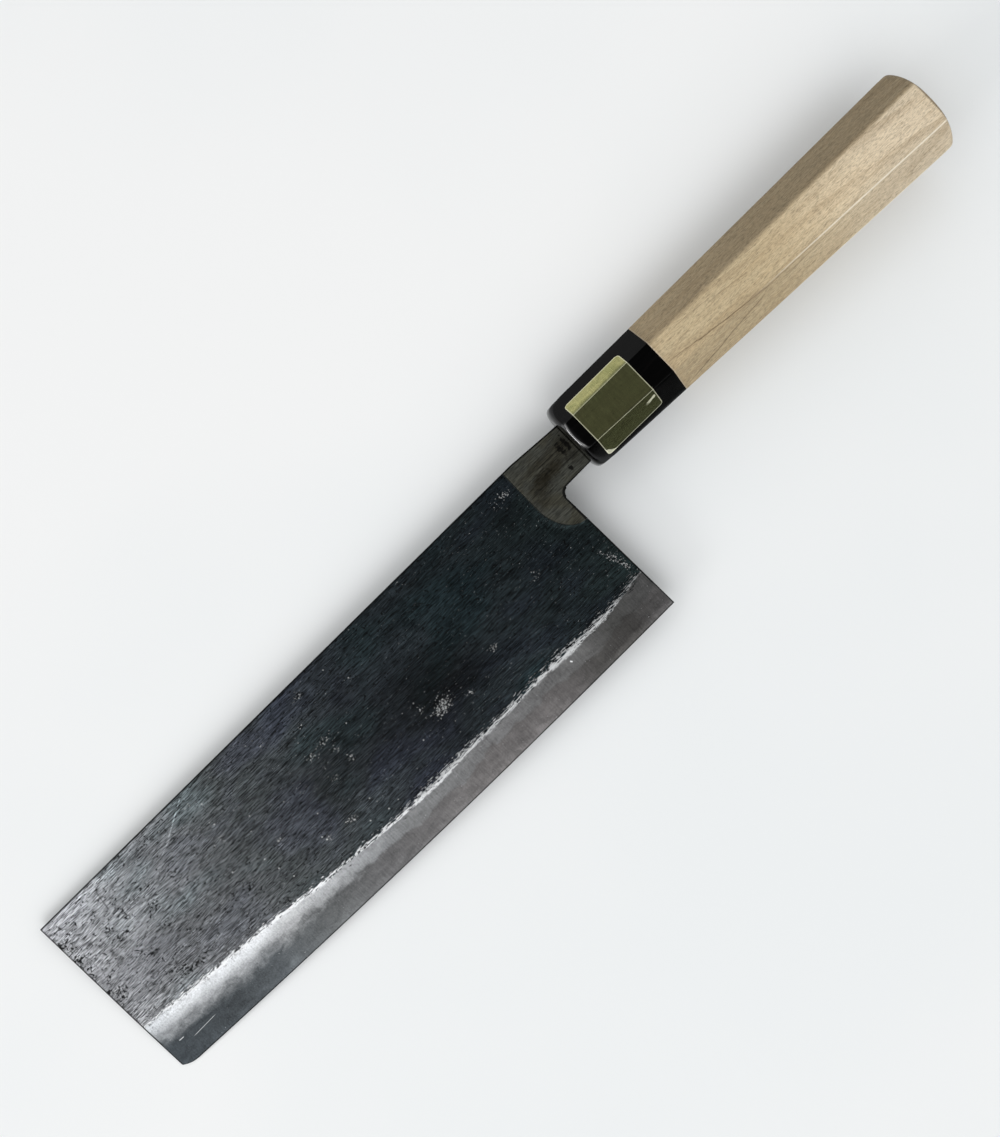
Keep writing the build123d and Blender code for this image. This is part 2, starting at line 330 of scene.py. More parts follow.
def handle_thickness(x):
    return along(x, ferrule_front, butt, handle_thickness_front, handle_thickness_butt)


def handle_middle(x):
    return handle_rise - handle_width(x) / 2


def waves(x, y, size, seed):
    """A smooth random surface between about -1 and 1, from a sum of sine waves."""
    draw = np.random.default_rng(seed)
    total = np.zeros(np.broadcast(x, y).shape)
    count = 14
    for _ in range(count):
        heading, phase = draw.uniform(0, 2 * math.pi, 2)
        length = size * draw.uniform(0.6, 1.8)
        total += np.sin((x * math.cos(heading) + y * math.sin(heading)) * 2 * math.pi / length + phase)
    return total / math.sqrt(count)


def spots(x, y, places, reach=1.0):
    """How much of a mark each point has, from a row of soft round places."""
    total = np.zeros(np.broadcast(x, y).shape)
    for px, py, sx, sy, strength in places:
        total += strength * np.exp(-(((x - px) / sx)**2 + ((y - py) / sy)**2) / reach**2)
    return np.clip(total, 0, 1)


# Meshes

def add_piece(name, mesh, materials):
    for material in materials:
        mesh.materials.append(material)
    piece = bpy.data.objects.new(name, mesh)
    bpy.context.scene.collection.objects.link(piece)
    return piece


def finish_piece(name, points, faces, face_materials, marks, materials):
    """Makes a piece from points in knife millimetres and places it in the frame."""
    mesh = bpy.data.meshes.new(name)
    mesh.from_pydata(points * MM, [], faces)
    for mark, values in marks.items():
        mesh.attributes.new(mark, "FLOAT", "POINT").data.foreach_set("value", values.astype(np.float32))
    mesh.polygons.foreach_set("material_index", face_materials)
    mesh.transform(pose)
    weld = bmesh.new()
    weld.from_mesh(mesh)
    bmesh.ops.remove_doubles(weld, verts=weld.verts, dist=weld_distance * MM)
    bmesh.ops.dissolve_degenerate(weld, edges=weld.edges, dist=weld_distance * MM)
    bmesh.ops.recalc_face_normals(weld, faces=weld.faces)
    weld.to_mesh(mesh)
    weld.free()
    mesh.shade_smooth()
    mesh.set_sharp_from_angle(angle=math.radians(sharp_angle))
    return add_piece(name, mesh, materials)


def plate(name, front, back, marks, materials):
    """A closed piece between two grids of points, columns by rows. Its rims have the second material."""
    index = np.arange(2 * front[..., 0].size).reshape(2, *front.shape[:2])
    grids = list(index)
    for border in (np.s_[:, :, 0], np.s_[:, :, -1], np.s_[:, 0], np.s_[:, -1]):
        grids.append(index[border].T)
    faces = []
    for grid in grids:
        corners = (grid[:-1, :-1], grid[1:, :-1], grid[1:, 1:], grid[:-1, 1:])
        faces.append(np.stack(corners, -1).reshape(-1, 4))
    slots = np.repeat((0, 0, 1, 1, 1, 1), [len(part) for part in faces])
    points = np.concatenate((front.reshape(-1, 3), back.reshape(-1, 3)))
    both = {mark: np.tile(values.reshape(-1), 2) for mark, values in marks.items()}
    return finish_piece(name, points, np.concatenate(faces).tolist(), slots, both, materials)


def chain(name, rings, ring_materials, materials, closed=False):
    """A piece of the handle, skinned over rings. An open row of rings is closed by a fan at each end."""
    rings = np.asarray(rings)
    count, size = rings.shape[:2]
    points = rings.reshape(-1, 3)
    faces, slots = [], []
    for number in range(count if closed else count - 1):
        here, there = number * size, (number + 1) % count * size
        for k in range(size):
            after = (k + 1) % size
            faces.append((here + k, here + after, there + after, there + k))
            slots.append(ring_materials[number])
    if not closed:
        for ring, material in ((0, ring_materials[0]), (count - 1, ring_materials[-1])):
            middle = len(points)
            points = np.vstack((points, rings[ring].mean(0)))
            for k in range(size):
                faces.append((ring * size + k, ring * size + (k + 1) % size, middle))
                slots.append(material)
    marks = {"crease": np.resize(ring_creases, len(points))}
    return finish_piece(name, points, faces, slots, marks, materials)


# Blade pieces

# Each row of a blade grid lies a share of the way from one level of the blade to the next: spine,
# end of the spine's soft corner, end of the collar's straight side, lowest place of the collar,
# bevel line, lamination line and cutting edge.
upper_stretches = (
    1 - np.cos(np.linspace(0, math.pi / 2, 5)),
    np.linspace(0, 1, 26)[1:],
    np.sin(np.linspace(0, math.pi / 2, 25))[1:],
    1 - (1 - np.linspace(0, 1, 42)[1:])**1.25,
    np.linspace(0, 1, 18)[1:],
)
edge_stretch = 1 - (1 - np.linspace(0, 1, 26)[1:])**1.5


def row_heights(x, level, share):
    """Heights of a grid's rows at places along the blade."""
    edge = edge_y(x)
    flat_levels = [np.full(x.shape, y) for y in (0, -spine_softness, -collar_straight, -collar_depth)]
    levels = np.stack(flat_levels + [edge + bevel_rise(x), edge + lamination_rise(x), edge])
    row = np.arange(len(level))
    upper = levels[level, :, row].T
    lower = levels[level + 1, :, row].T
    return upper + share * (lower - upper)


def blade_grid(with_edge):
    """Places of a grid from the tip line to the collar and heel line, and their distances from those."""
    stretches = upper_stretches + ((edge_stretch,) if with_edge else ())
    level = np.concatenate([np.full(len(shares), number) for number, shares in enumerate(stretches)])
    share = np.concatenate(stretches)
    rims = np.array(rim_columns)
    columns = np.linspace(2 * rims[-1], 1 - 2 * rims[-1], blade_columns)
    columns = np.concatenate((rims, columns, 1 - rims[::-1]))[:, None]
    x = -blade_length + columns * blade_length + np.zeros(len(level))
    for _ in range(6):
        y = row_heights(x, level, share)
        start, end = tip_x(y, y - edge_y(x)), collar_x(y)
        x = start + columns * (end - start)
    return x, y, x - start, end - x


def rim_scale(rim):
    """How much of its thickness the blade keeps at its rounded tip, heel and weld rims."""
    depth = np.clip(1 - rim / rim_softness, 0, 1)
    return 1 - rim_softness * (1 - np.sqrt(1 - depth**2))


def relief(x, y, rim, side):
    """Hammer and scale relief of the flats, which fades out at their borders."""
    above = y - edge_y(x) - bevel_rise(x)
    fade = 1.0
    for distance in (above, -y, rim):
        fade = fade * np.clip(distance / forging_margin, 0, 1)
    height = sum(share * waves(x, y, length, seed + side) for share, length, seed in forging_waves)
    dents = spots(x, y, side_marks[side]["pitted"])
    return fade * (forging_relief * (height - forging_depth) - pit_depth * dents)


def inner_half(x):
    """Half the core's thickness, at the lamination line and all the way up from it."""
    return blade_half(x, edge_y(x) + lamination_rise(x))


def skin(x, y, z):
    return np.stack(np.broadcast_arrays(x, y, z), -1)


def blade_marks(x, y, from_tip, from_heel, side):
    """What the blade's material reads at each point."""
    edge, rise = edge_y(x), bevel_rise(x)
    free_heel = np.where(y < -collar_depth, from_heel, blade_length)
    welded_heel = np.where(y < -collar_depth, np.hypot(from_heel, y + collar_depth), from_heel)
    marks = {
        "border": np.minimum(np.minimum(from_tip, free_heel), np.minimum(-y, y - edge)),
        "weld": welded_heel,
        "rise": y - edge - rise,
        "depth": (edge + rise - y) / rise,
        "laminated": y - edge - lamination_rise(x),
    }
    for mark, places in side_marks[side].items():
        marks[mark] = spots(x, y, places, pit_reach if mark == "pitted" else 1.0)
    return marks


def make_cladding(name, side, materials):
    """The soft iron of one side, from the spine to the lamination line."""
    x, y, from_tip, from_heel = blade_grid(False)
    rim = np.minimum(from_tip, from_heel)
    corner = np.clip(1 + y / spine_softness, 0, 1)
    outer = blade_half(x, y) - spine_softness * (1 - np.sqrt(1 - corner**2)) + relief(x, y, rim, side)
    scale = rim_scale(rim)
    inner = inner_half(x) * scale
    outer = np.maximum(outer * scale, inner)
    marks = blade_marks(x, y, from_tip, from_heel, side)
    return plate(name, skin(x, y, side * outer), skin(x, y, side * inner), marks, materials)


def make_core(name, materials):
    """The hard middle layer, which comes out of the claddings at the cutting edge."""
    x, y, from_tip, from_heel = blade_grid(True)
    half = np.minimum(inner_half(x), blade_half(x, y)) * rim_scale(np.minimum(from_tip, from_heel))
    marks = blade_marks(x, y, from_tip, from_heel, 1)
    return plate(name, skin(x, y, half), skin(x, y, -half), marks, materials)


# Collar, neck and tang

def arc(center, radii, start, end, count):
    """Points of an elliptic arc in a plan, from one angle to another in degrees."""
    angles = np.radians(np.linspace(start, end, count))
    return [(center[0] + radii[0] * math.cos(a), center[1] + radii[1] * math.sin(a)) for a in angles]


def tang_bar(x):
    """Middle, half height and half thickness of the tang's bar at a place inside the handle."""
    neck_half = flat_half(neck_length, -neck_depth_ferrule)
    front = (-(neck_drop + neck_depth_ferrule) / 2, (neck_depth_ferrule - neck_drop) / 2 - tang_inset)
    back = (handle_middle(tang_end), tang_end_height / 2, tang_end_thickness / 2)
    ends = zip((*front, neck_half - tang_inset), back)
    return [along(x, ferrule_front, tang_end, *sizes) for sizes in ends]


def add_prism(solid, lower, upper):
    """Closes the room between two outlines of points."""
    lower, upper = ([solid.verts.new(point) for point in points] for points in (lower, upper))
    solid.faces.new(lower[::-1])
    solid.faces.new(upper)
    for k in range(len(lower)):
        after = (k + 1) % len(lower)
        solid.faces.new((lower[k], lower[after], upper[after], upper[k]))


def make_tang(name, material):
    """Collar and neck with soft rims, and the hidden bar of the tang."""
    bottom = heel_x(-collar_depth)
    collar_radii = (collar_reach + bottom, collar_depth - collar_straight)
    outline = arc((bottom, -collar_straight), collar_radii, 180, 270, 25)
    notch = (heel_x(-neck_depth_heel) + notch_radius, -neck_depth_heel - notch_radius)
    outline += arc(notch, (notch_radius, notch_radius), 180, 90, 9)
    outline += [(neck_length, -neck_depth_ferrule), (neck_length, -neck_drop)]
    outline += [(-neck_drop_start, 0), (-collar_reach, 0)]
    solid = bmesh.new()
    add_prism(solid, *([(x, y, side * flat_half(x, y)) for x, y in outline] for side in (-1, 1)))
    rims = [edge for edge in solid.edges if (edge.verts[0].co.z > 0) == (edge.verts[1].co.z > 0)]
    bmesh.ops.bevel(solid, geom=rims, offset=neck_softness, segments=4, profile=0.5, affect="EDGES")
    bar_ends = []
    for x in (ferrule_front, tang_end):
        middle, half_height, half_thickness = tang_bar(x)
        corners = ((1, 1), (-1, 1), (-1, -1), (1, -1))
        bar_ends.append([(x, middle + half_height * a, half_thickness * b) for a, b in corners])
    add_prism(solid, *bar_ends)
    bmesh.ops.recalc_face_normals(solid, faces=solid.faces)
    for face in solid.faces:
        face.smooth = len(face.verts) == 4 and face.calc_area() < soft_face_area
    for edge in solid.edges:
        edge.smooth = all(face.smooth for face in edge.link_faces)
    bmesh.ops.scale(solid, vec=(MM, MM, MM), verts=solid.verts)
    solid.transform(pose)
    mesh = bpy.data.meshes.new(name)
    solid.to_mesh(mesh)
    solid.free()
    return add_piece(name, mesh, [material])


# Handle pieces

# Each ring has 8 creases of a few points, and the points of the flat side after each of them
arc_points, side_points = 6, 10
ring_creases = np.tile([1.0] * arc_points + [0.0] * side_points, 8)
end_ring_shares = (0.97, 0.85, 0.65, 0.45, 0.25, 0.1)


def octagon_ring(x, crease=crease_radius, grow=0.0):
    """The handle's section with soft creases, grown outwards by an even amount, as Y and Z."""
    half_width, half = handle_width(x) / 2 + grow, handle_thickness(x) / 2 + grow
    facet = math.atan2(corner_cut_thickness, corner_cut_width)
    cut_y = corner_cut_width + grow * (1 - math.tan(facet / 2))
    cut_z = corner_cut_thickness + grow * (1 - math.tan((math.pi / 2 - facet) / 2))
    quarter = [(half_width, half - cut_z), (half_width - cut_y, half)]
    corners = quarter + [(-y, z) for y, z in quarter[::-1]]
    corners += [(-y, -z) for y, z in corners]
    corners = [Vector(corner) for corner in corners]
    radius = crease + grow
    arcs = []
    for k, corner in enumerate(corners):
        before = (corners[k - 1] - corner).normalized()
        after = (corners[(k + 1) % 8] - corner).normalized()
        half_turn = (math.pi - before.angle(after)) / 2
        inward = (before + after).normalized()
        center = corner + inward * radius / math.cos(half_turn)
        start = corner + before * radius * math.tan(half_turn) - center
        end = corner + after * radius * math.tan(half_turn) - center
        whole_turn = math.sin(half_turn * 2)
        turn = [math.sin(half_turn * 2 * share) / whole_turn for share in np.linspace(0, 1, arc_points)]
        arcs.append([center + start * back + end * forth for forth, back in zip(turn, turn[::-1])])
    points = []
    for k in range(8):
        points += arcs[k]
        start, end = arcs[k][-1], arcs[(k + 1) % 8][0]
        points += [start.lerp(end, s) for s in np.linspace(0, 1, side_points + 2)[1:-1]]
    ring = np.array(points)
    ring[:, 0] += handle_middle(x)
    return ring


def corner_radii(x):
    half_width, half = handle_width(x) / 2, handle_thickness(x) / 2
    return math.hypot(half_width, half - corner_cut_thickness), math.hypot(half_width - corner_cut_width, half)


def turned_radius(end, other_end):
    return max(*corner_radii(end), *corner_radii(other_end)) + turning_margin


def ring_at(x, section):
    return np.column_stack((np.full(len(section), x), section))


def turned_end_rings(end, other_end, rounding, softness, crease=crease_radius, count=34):
    """Rings over the lathe's rounding of an end, from its flat outwards."""
    middle = np.array((handle_middle(end), 0.0))
    flat = turned_radius(end, other_end) - rounding
    inward = math.copysign(1, other_end - end)
    rings = []
    for angle in np.linspace(0, math.pi / 2, count):
        x = end + inward * rounding * (1 - math.cos(angle))
        spokes = octagon_ring(x, crease) - middle
        reach = np.linalg.norm(spokes, axis=1)
        lathe = flat + rounding * math.sin(angle)
        kept = soft_least(reach, lathe, softness)
        rings.append(ring_at(x, middle + spokes * (kept / reach)[:, None]))
    return rings


def inner_spokes():
    """Directions of the octagon's points from its middle, for sections inside the handle."""
    spokes = octagon_ring(ferrule_back) - (handle_middle(ferrule_back), 0)
    return spokes / np.linalg.norm(spokes, axis=1)[:, None]


def tenon_ring(x):
    return ring_at(x, inner_spokes() * tenon_radius + (handle_middle(ferrule_back), 0))


def slot_ring(x):
    """The slot that the tang sits in. Its blind end is as wide as the tang's end needs."""
    middle, *halves = tang_bar(min(x, tang_end))
    spokes = inner_spokes()
    reach = (np.array(halves) + resin_gap) / np.maximum(np.abs(spokes), 1e-6)
    return ring_at(x, spokes * reach.min(axis=1)[:, None] + (middle, 0))


def make_ferrule(name, material):
    """The black front of the handle: nose, body, bore for the tenon and slot for the tang."""
    rings = turned_end_rings(ferrule_front, ferrule_back, nose_radius, nose_softness, horn_crease_radius)
    for x in np.linspace(ferrule_front + nose_radius, ferrule_back, 22)[1:-1]:
        rings.append(ring_at(x, octagon_ring(x, horn_crease_radius)))
    for soft in (0.0, joint_softness):
        rim = octagon_ring(ferrule_back, horn_crease_radius, -soft)
        rings.append(ring_at(ferrule_back - joint_softness + soft, rim))
    rings += [tenon_ring(ferrule_back), tenon_ring(tenon_front)]
    rings += [slot_ring(tenon_front), slot_ring(ferrule_front)]
    return chain(name, rings, [0] * len(rings), [material], closed=True)


def make_handle(name, side_material, end_material):
    """The wooden grip: slot, tenon, facets and turned butt."""
    rings = [slot_ring(tang_end + resin_end), slot_ring(tenon_front), tenon_ring(tenon_front)]
    rings.append(tenon_ring(ferrule_back))
    hidden = len(rings)
    rings.append(ring_at(ferrule_back, octagon_ring(ferrule_back, grow=-joint_softness)))
    rings.append(ring_at(ferrule_back + joint_softness, octagon_ring(ferrule_back)))
    rings += [ring_at(x, octagon_ring(x)) for x in np.linspace(ferrule_back, butt - butt_radius, 60)[1:-1]]
    rings += turned_end_rings(butt, ferrule_back, butt_radius, butt_softness)[::-1]
    sides = len(rings) - 1 - hidden
    rim, center = rings[-1], (butt, handle_middle(butt), 0)
    rings += [center + (rim - center) * share for share in end_ring_shares]
    slots = [1] * hidden + [0] * sides + [1] * len(end_ring_shares)
    return chain(name, rings, slots, [side_material, end_material])


# Places down the label, as shares of each of its stretches: upper facet, fold, middle facet, fold
# and lower facet
label_stretches = (
    np.linspace(0, 1, 14)[:-1],
    np.linspace(0, 1, 6)[:-1],
    np.linspace(0, 1, 40)[:-1],
    np.linspace(0, 1, 6)[:-1],
    1 - (1 - np.linspace(0, 1, 34))**1.5,
)


def label_profile(x, grow):
    """Places down the label's width on the ferrule's section, and how far each lies from its upper rim."""
    ring = octagon_ring(x, horn_crease_radius, grow)
    order = np.argsort(-ring[:, 0])
    order = order[ring[order, 1] > 0]
    upper, bent = ring[order], ring_creases[order] > 0
    run = np.concatenate(([0], np.cumsum(np.linalg.norm(np.diff(upper, axis=0), axis=1))))
    start, end = np.interp((-label_top, label_width - label_top), -upper[:, 0], run)
    folds = run[bent & (run > start) & (run < end)]
    levels = (start, folds[0], folds[arc_points - 1], folds[arc_points], folds[-1], end)
    places = [low + shares * (high - low) for shares, low, high in zip(label_stretches, levels, levels[1:])]
    places = np.concatenate(places)
    return np.column_stack([np.interp(places, run, upper[:, k]) for k in (0, 1)]), places - start


def make_label(name, material):
    """Thin foil, folded over three facets of the ferrule."""
    start = ferrule_front + label_setback
    columns = np.linspace(0, 1, 48)
    _, down = label_profile(start, foil_thickness)
    gap = np.clip(1 - np.minimum(down, down[-1] - down) / label_corner, 0, 1)
    inset = label_corner * (1 - np.sqrt(1 - gap**2))
    skins = []
    for grow in (foil_thickness, 0.0):
        first, last = label_profile(start, grow)[0], label_profile(start + label_length, grow)[0]
        sections = []
        for share in columns:
            x = start + inset + share * (label_length - 2 * inset)
            reach = ((x - start) / label_length)[:, None]
            sections.append(np.column_stack((x, first + reach * (last - first))))
        skins.append(np.array(sections))
    sheet_x = columns[:, None] * label_length + 0 * down
    sheet_y = down + 0 * columns[:, None]
    border = np.minimum(np.minimum(sheet_x, label_length - sheet_x), np.minimum(sheet_y, down[-1] - sheet_y))
    counts = [len(shares) for shares in label_stretches]
    folds = np.repeat(np.arange(len(counts)) % 2, counts)
    marks = {"border": border, "across": sheet_y, "lengthwise": sheet_x, "fold": folds + 0 * border}
    return plate(name, *skins, marks, [material, material])


# Materials

class Value:
    """A number, colour or vector in a node tree, which takes part in sums as a plain number does."""

    def __init__(self, nodes, socket):
        self.nodes, self.socket = nodes, socket

    def __add__(self, other):
        return self.nodes.math("ADD", self, other)

    def __sub__(self, other):
        return self.nodes.math("SUBTRACT", self, other)

    def __rsub__(self, other):
        return self.nodes.math("SUBTRACT", other, self)

    def __mul__(self, other):
        return self.nodes.math("MULTIPLY", self, other)

    def __truediv__(self, other):
        return self.nodes.math("DIVIDE", self, other)

    __radd__ = __add__
    __rmul__ = __mul__


class Nodes:
    """Makes and links the nodes of one tree. Inputs are given with their sockets' numbers or names."""

    def __init__(self, tree):
        self.tree = tree

    def feed(self, socket, value):
        if isinstance(value, Value):
            value = value.socket
        if isinstance(value, bpy.types.NodeSocket):
            self.tree.links.new(value, socket)
        else:
            socket.default_value = value

    def node(self, kind, inputs, **settings):
        node = self.tree.nodes.new(kind)
        for setting, value in settings.items():
            setattr(node, setting, value)
        for key, value in inputs.items():
            self.feed(node.inputs[key], value)
        return node

    def value(self, kind, inputs, output=0, **settings):
        return Value(self, self.node(kind, inputs, **settings).outputs[output])

    def math(self, operation, *values):
        return self.value("ShaderNodeMath", dict(enumerate(values)), operation=operation)

    def step(self, value, low, high):
        """Rises smoothly from 0 at one value to 1 at the other."""
        inputs = {0: value, 1: low, 2: high}
        return self.value("ShaderNodeMapRange", inputs, interpolation_type="SMOOTHSTEP")

    def ramp(self, value, stops):
        """A colour from a row of places from 0 to 1 and their colours."""
        node = self.node("ShaderNodeValToRGB", {0: value})
        elements = node.color_ramp.elements
        elements[0].position, elements[0].color = stops[0]
        elements[1].position, elements[1].color = stops[-1]
        for place, color in stops[1:-1]:
            elements.new(place).color = color
        return Value(self, node.outputs[0])

    def split(self, vector):
        """X, Y and Z of a vector."""
        node = self.node("ShaderNodeSeparateXYZ", {0: vector})
        return [Value(self, output) for output in node.outputs]


class Painter(Nodes):
    """Builds a material. Places in it are the knife's millimetres."""

    def __init__(self, name):
        self.material = bpy.data.materials.new(name)
        self.material.use_nodes = True
        super().__init__(self.material.node_tree)
        self.shader = self.tree.nodes["Principled BSDF"]
        inputs = {
            "Vector": self.node("ShaderNodeTexCoord", {}).outputs["Object"],
            "Location": pose.to_translation(),
            "Rotation": pose.to_euler(),
            "Scale": (MM, MM, MM),
        }
        self.place = self.value("ShaderNodeMapping", inputs, vector_type="TEXTURE")
        self.x, self.y, self.z = self.split(self.place)

    def texture(self, kind, size, shift, **inputs):
        """A texture whose features have these sizes along X, Y and Z."""
        place = {0: self.place, 1: [1 / length for length in size], 2: shift}
        vector = self.value("ShaderNodeVectorMath", place, operation="MULTIPLY_ADD")
        return self.value(kind, {"Vector": vector, "Scale": 1.0, **inputs})

    def noise(self, size, detail=3.0, roughness=0.5, distortion=0.0, seed=0):
        """Noise about 0.5."""
        shift = (17.3 * seed, 31.7 * seed, 5.9 * seed)
        inputs = {"Detail": detail, "Roughness": roughness, "Distortion": distortion}
        return self.texture("ShaderNodeTexNoise", size, shift, **inputs)

    def cells(self, size, seed):
        """Distance from scattered points that lie about this far apart."""
        return self.texture("ShaderNodeTexVoronoi", size, (11.3 * seed, 7.7 * seed, 3.9 * seed))

    def mark(self, name):
        """The value that the mesh has for a mark."""
        return self.value("ShaderNodeAttribute", {}, "Fac", attribute_name=name)

    def stroke(self, x0, y0, x1, y1, half_width, wavering=0.0):
        """1 on a stroke between two places of a side, fading to 0 beyond its half width."""
        length = math.hypot(x1 - x0, y1 - y0)
        ux, uy = (x1 - x0) / length, (y1 - y0) / length
        run = (self.x - x0) * ux + (self.y - y0) * uy
        off = self.math("ABSOLUTE", (self.x - x0) * uy - (self.y - y0) * ux + wavering)
        beyond = self.math("ABSOLUTE", run - length / 2)
        return self.step(off, half_width, 0.0) * self.step(beyond, length / 2, length * 0.35)

    def blob(self, x, y, size_x, size_y, ragged=0.0, outer=1.3, inner=0.5):
        """1 inside an oval place of a side, fading to 0 outside it. The border may be ragged."""
        across, down = (self.x - x) / size_x, (self.y - y) / size_y
        return self.step(across * across + down * down + ragged, outer, inner)

    def mix(self, share, first, second):
        """Changes from one colour to another."""
        inputs = {0: share, 6: first, 7: second}
        return self.value("ShaderNodeMix", inputs, 2, data_type="RGBA", clamp_factor=True)

    def shade(self, color, factor):
        """Makes a colour darker or lighter by a factor."""
        color = color if isinstance(color, Value) else color[:3]
        return self.value("ShaderNodeVectorMath", {0: color, "Scale": factor}, operation="SCALE")

    def along_blade(self, stops):
        """A colour from a row of places along X and their colours."""
        first, last = stops[0][0], stops[-1][0]
        shares = [((place - first) / (last - first), color) for place, color in stops]
        return self.ramp((self.x - first) / (last - first), shares)

    def finish(self, color, roughness, height=None, metallic=0.0, specular=0.5, coat=0.0, coat_ior=1.5):
        """Sets the shader. The height is in millimetres."""
        inputs = {
            "Base Color": color,
            "Roughness": roughness,
            "Metallic": metallic,
            "Specular IOR Level": specular,
            "Coat Weight": coat,
            "Coat Roughness": coat_roughness,
            "Coat IOR": coat_ior,
        }
        if height is not None:
            bump = self.node("ShaderNodeBump", {"Distance": MM, "Height": height})
            inputs["Normal"] = bump.outputs[0]
        for name, value in inputs.items():
            self.feed(self.shader.inputs[name], value)
        return self.material


def tone(red, green, blue):
    """A colour from screen values of 0 to 255."""
    def linear(value):
        share = value / 255
        return share / 12.92 if share <= 0.04045 else ((share + 0.055) / 1.055)**2.4
    return (linear(red), linear(green), linear(blue), 1.0)


def ground_steel(p):
    """Colour, roughness and height of the ground bevel, from the bevel line down to the edge."""
    depth, laminated = p.mark("depth"), p.mark("laminated")
    tipward = p.step(p.x, -84.0, -140.0)
    cross = p.noise((0.42, 6.0, 2.0), roughness=0.6, distortion=0.3, seed=4)
    fine_cross = p.noise((0.2, 1.6, 1.0), detail=2, roughness=0.6, seed=5)
    grit = p.noise((0.4, 0.4, 0.4), detail=2, roughness=0.6, seed=9)
    clouds = p.noise((4.2, 2.2, 2.2), detail=4, roughness=0.55, distortion=0.8, seed=6)
    wide_clouds = p.noise((17.0, 6.0, 6.0), detail=2, seed=7)
    ragged_depth = depth + (clouds - 0.5) * 0.2
    # Painted shade: the iron darkens down the bevel from its line, more towards the tip.
    shaded = p.step(ragged_depth, 0.08, 0.38) * (0.14 + tipward * 0.4)
    # The iron brightens towards the tip: partly worn iron, partly a painted reflection.
    iron = p.shade(p.along_blade(iron_and_sheen_colors), 1.0 - shaded)
    # Painted light: the core brightens close to the cutting edge, most near the heel.
    lit = p.step(ragged_depth, 0.78, 1.0) * (0.3 + p.step(p.x, -30.0, -4.0) * 0.8)
    core = p.shade(p.along_blade(core_colors), 1.0 + lit)
    blunt_tip = p.step(p.x, -152.0, -164.0)
    border = laminated + (clouds - 0.5) * 3.8 + (wide_clouds - 0.5) * 3.4 + (cross - 0.5) * 0.4
    border = border - blunt_tip * 1.8
    spread = 0.5 + tipward * 2.6
    color = p.mix(p.step(border / spread, 0.9, -0.9), iron, core)
    streaks = (cross - 0.5) * (0.8 - tipward * 0.5) + (fine_cross - 0.5) * 0.5
    streaks = streaks + (grit - 0.5) * (0.7 + tipward * 0.4)
    color = p.shade(color, 1.0 + streaks + (clouds - 0.5) * 1.1 + (wide_clouds - 0.5) * 0.7)
    specks = p.step(p.noise((0.3, 0.3, 0.3), detail=1, seed=8), 0.77, 0.81)
    color = p.mix(specks * 0.5, color, bare_white)
    for x0, y0, x1, y1, half_width, change in bevel_scratches:
        color = p.mix(p.stroke(x0, y0, x1, y1, half_width) * change, color, bare_white)
    # Painted shade: the bevel darkens along its outline, where the rims round off.
    color = p.mix(p.step(p.mark("border"), 0.36, 0.2) * 0.85, color, rim_black_and_shade)
    roughness = 0.37 + (clouds - 0.5) * 0.14 + (cross - 0.5) * 0.1
    height = cross * 0.006 + fine_cross * 0.003 + clouds * 0.006
    return color, roughness, height


def forge_scale(p, side, seed):
    """Dark scale with brushed grain, clouds and scratches: colour, roughness, height and grain."""
    grain = p.noise((4.6, 0.17, 1.0), detail=2, distortion=0.04, seed=seed)
    short_grain = p.noise((2.0, 0.125, 0.8), detail=2, distortion=0.04, seed=seed + 1)
    coarse = p.noise((9.0, 0.9, 1.0), roughness=0.6, distortion=0.5, seed=seed + 9)
    clouds = p.noise((15.0, 6.0, 6.0), detail=4, roughness=0.55, distortion=0.6, seed=seed + 2)
    tint = p.noise((26.0, 16.0, 16.0), detail=2, seed=seed + 3)
    # The scale brightens towards the tip: partly thinner scale, partly a painted reflection.
    color = p.along_blade(scale_and_sheen_colors)
    color = p.mix(p.step(tint, 0.5, 0.66) * 0.6, color, p.along_blade(teal_and_sheen_colors))
    color = p.mix(p.step(tint, 0.5, 0.36) * 0.7, color, p.along_blade(violet_and_sheen_colors))
    lines = p.step(grain, 0.42, 0.51) * 0.6 + p.step(short_grain, 0.43, 0.54) * 0.4
    ridges = p.step(short_grain, 0.53, 0.64) * p.step(grain, 0.44, 0.56)
    grained = lines - 0.62 + (short_grain - 0.5) * 1.3 + (ridges - 0.2) * 0.4
    grained = grained * (1 - p.step(p.x, -110.0, -60.0) * 0.2)
    factor = 0.76 + grained + (coarse - 0.5) * 0.6 + (clouds - 0.5) * 0.5
    # Painted shade: the flats darken from the spine downwards, less near the heel, and lighten a little just
    # above the bevel.
    shaded = 0.4 - p.step(p.x, -58.0, -36.0) * 0.3
    across = 1 - p.step(p.y, -5.0, -24.0) * shaded + p.step(p.y, -31.0, -36.0) * 0.1
    factor = factor * across * (1 + p.mark("cloudy") * 0.8) * (1 - p.mark("dark") * 0.7)
    if side > 0:
        for x0, y0, x1, y1, half_width, change in scratches:
            factor = factor * (1 + p.stroke(x0, y0, x1, y1, half_width) * change)
    color = p.shade(color, p.math("MAXIMUM", factor, 0.06))
    roughness = scale_roughness + (short_grain - 0.5) * 0.16 + (clouds - 0.5) * 0.12 - lines * 0.06
    height = grain * 0.02 + short_grain * 0.012 + coarse * 0.015 + clouds * 0.04
    return color, roughness, height, short_grain


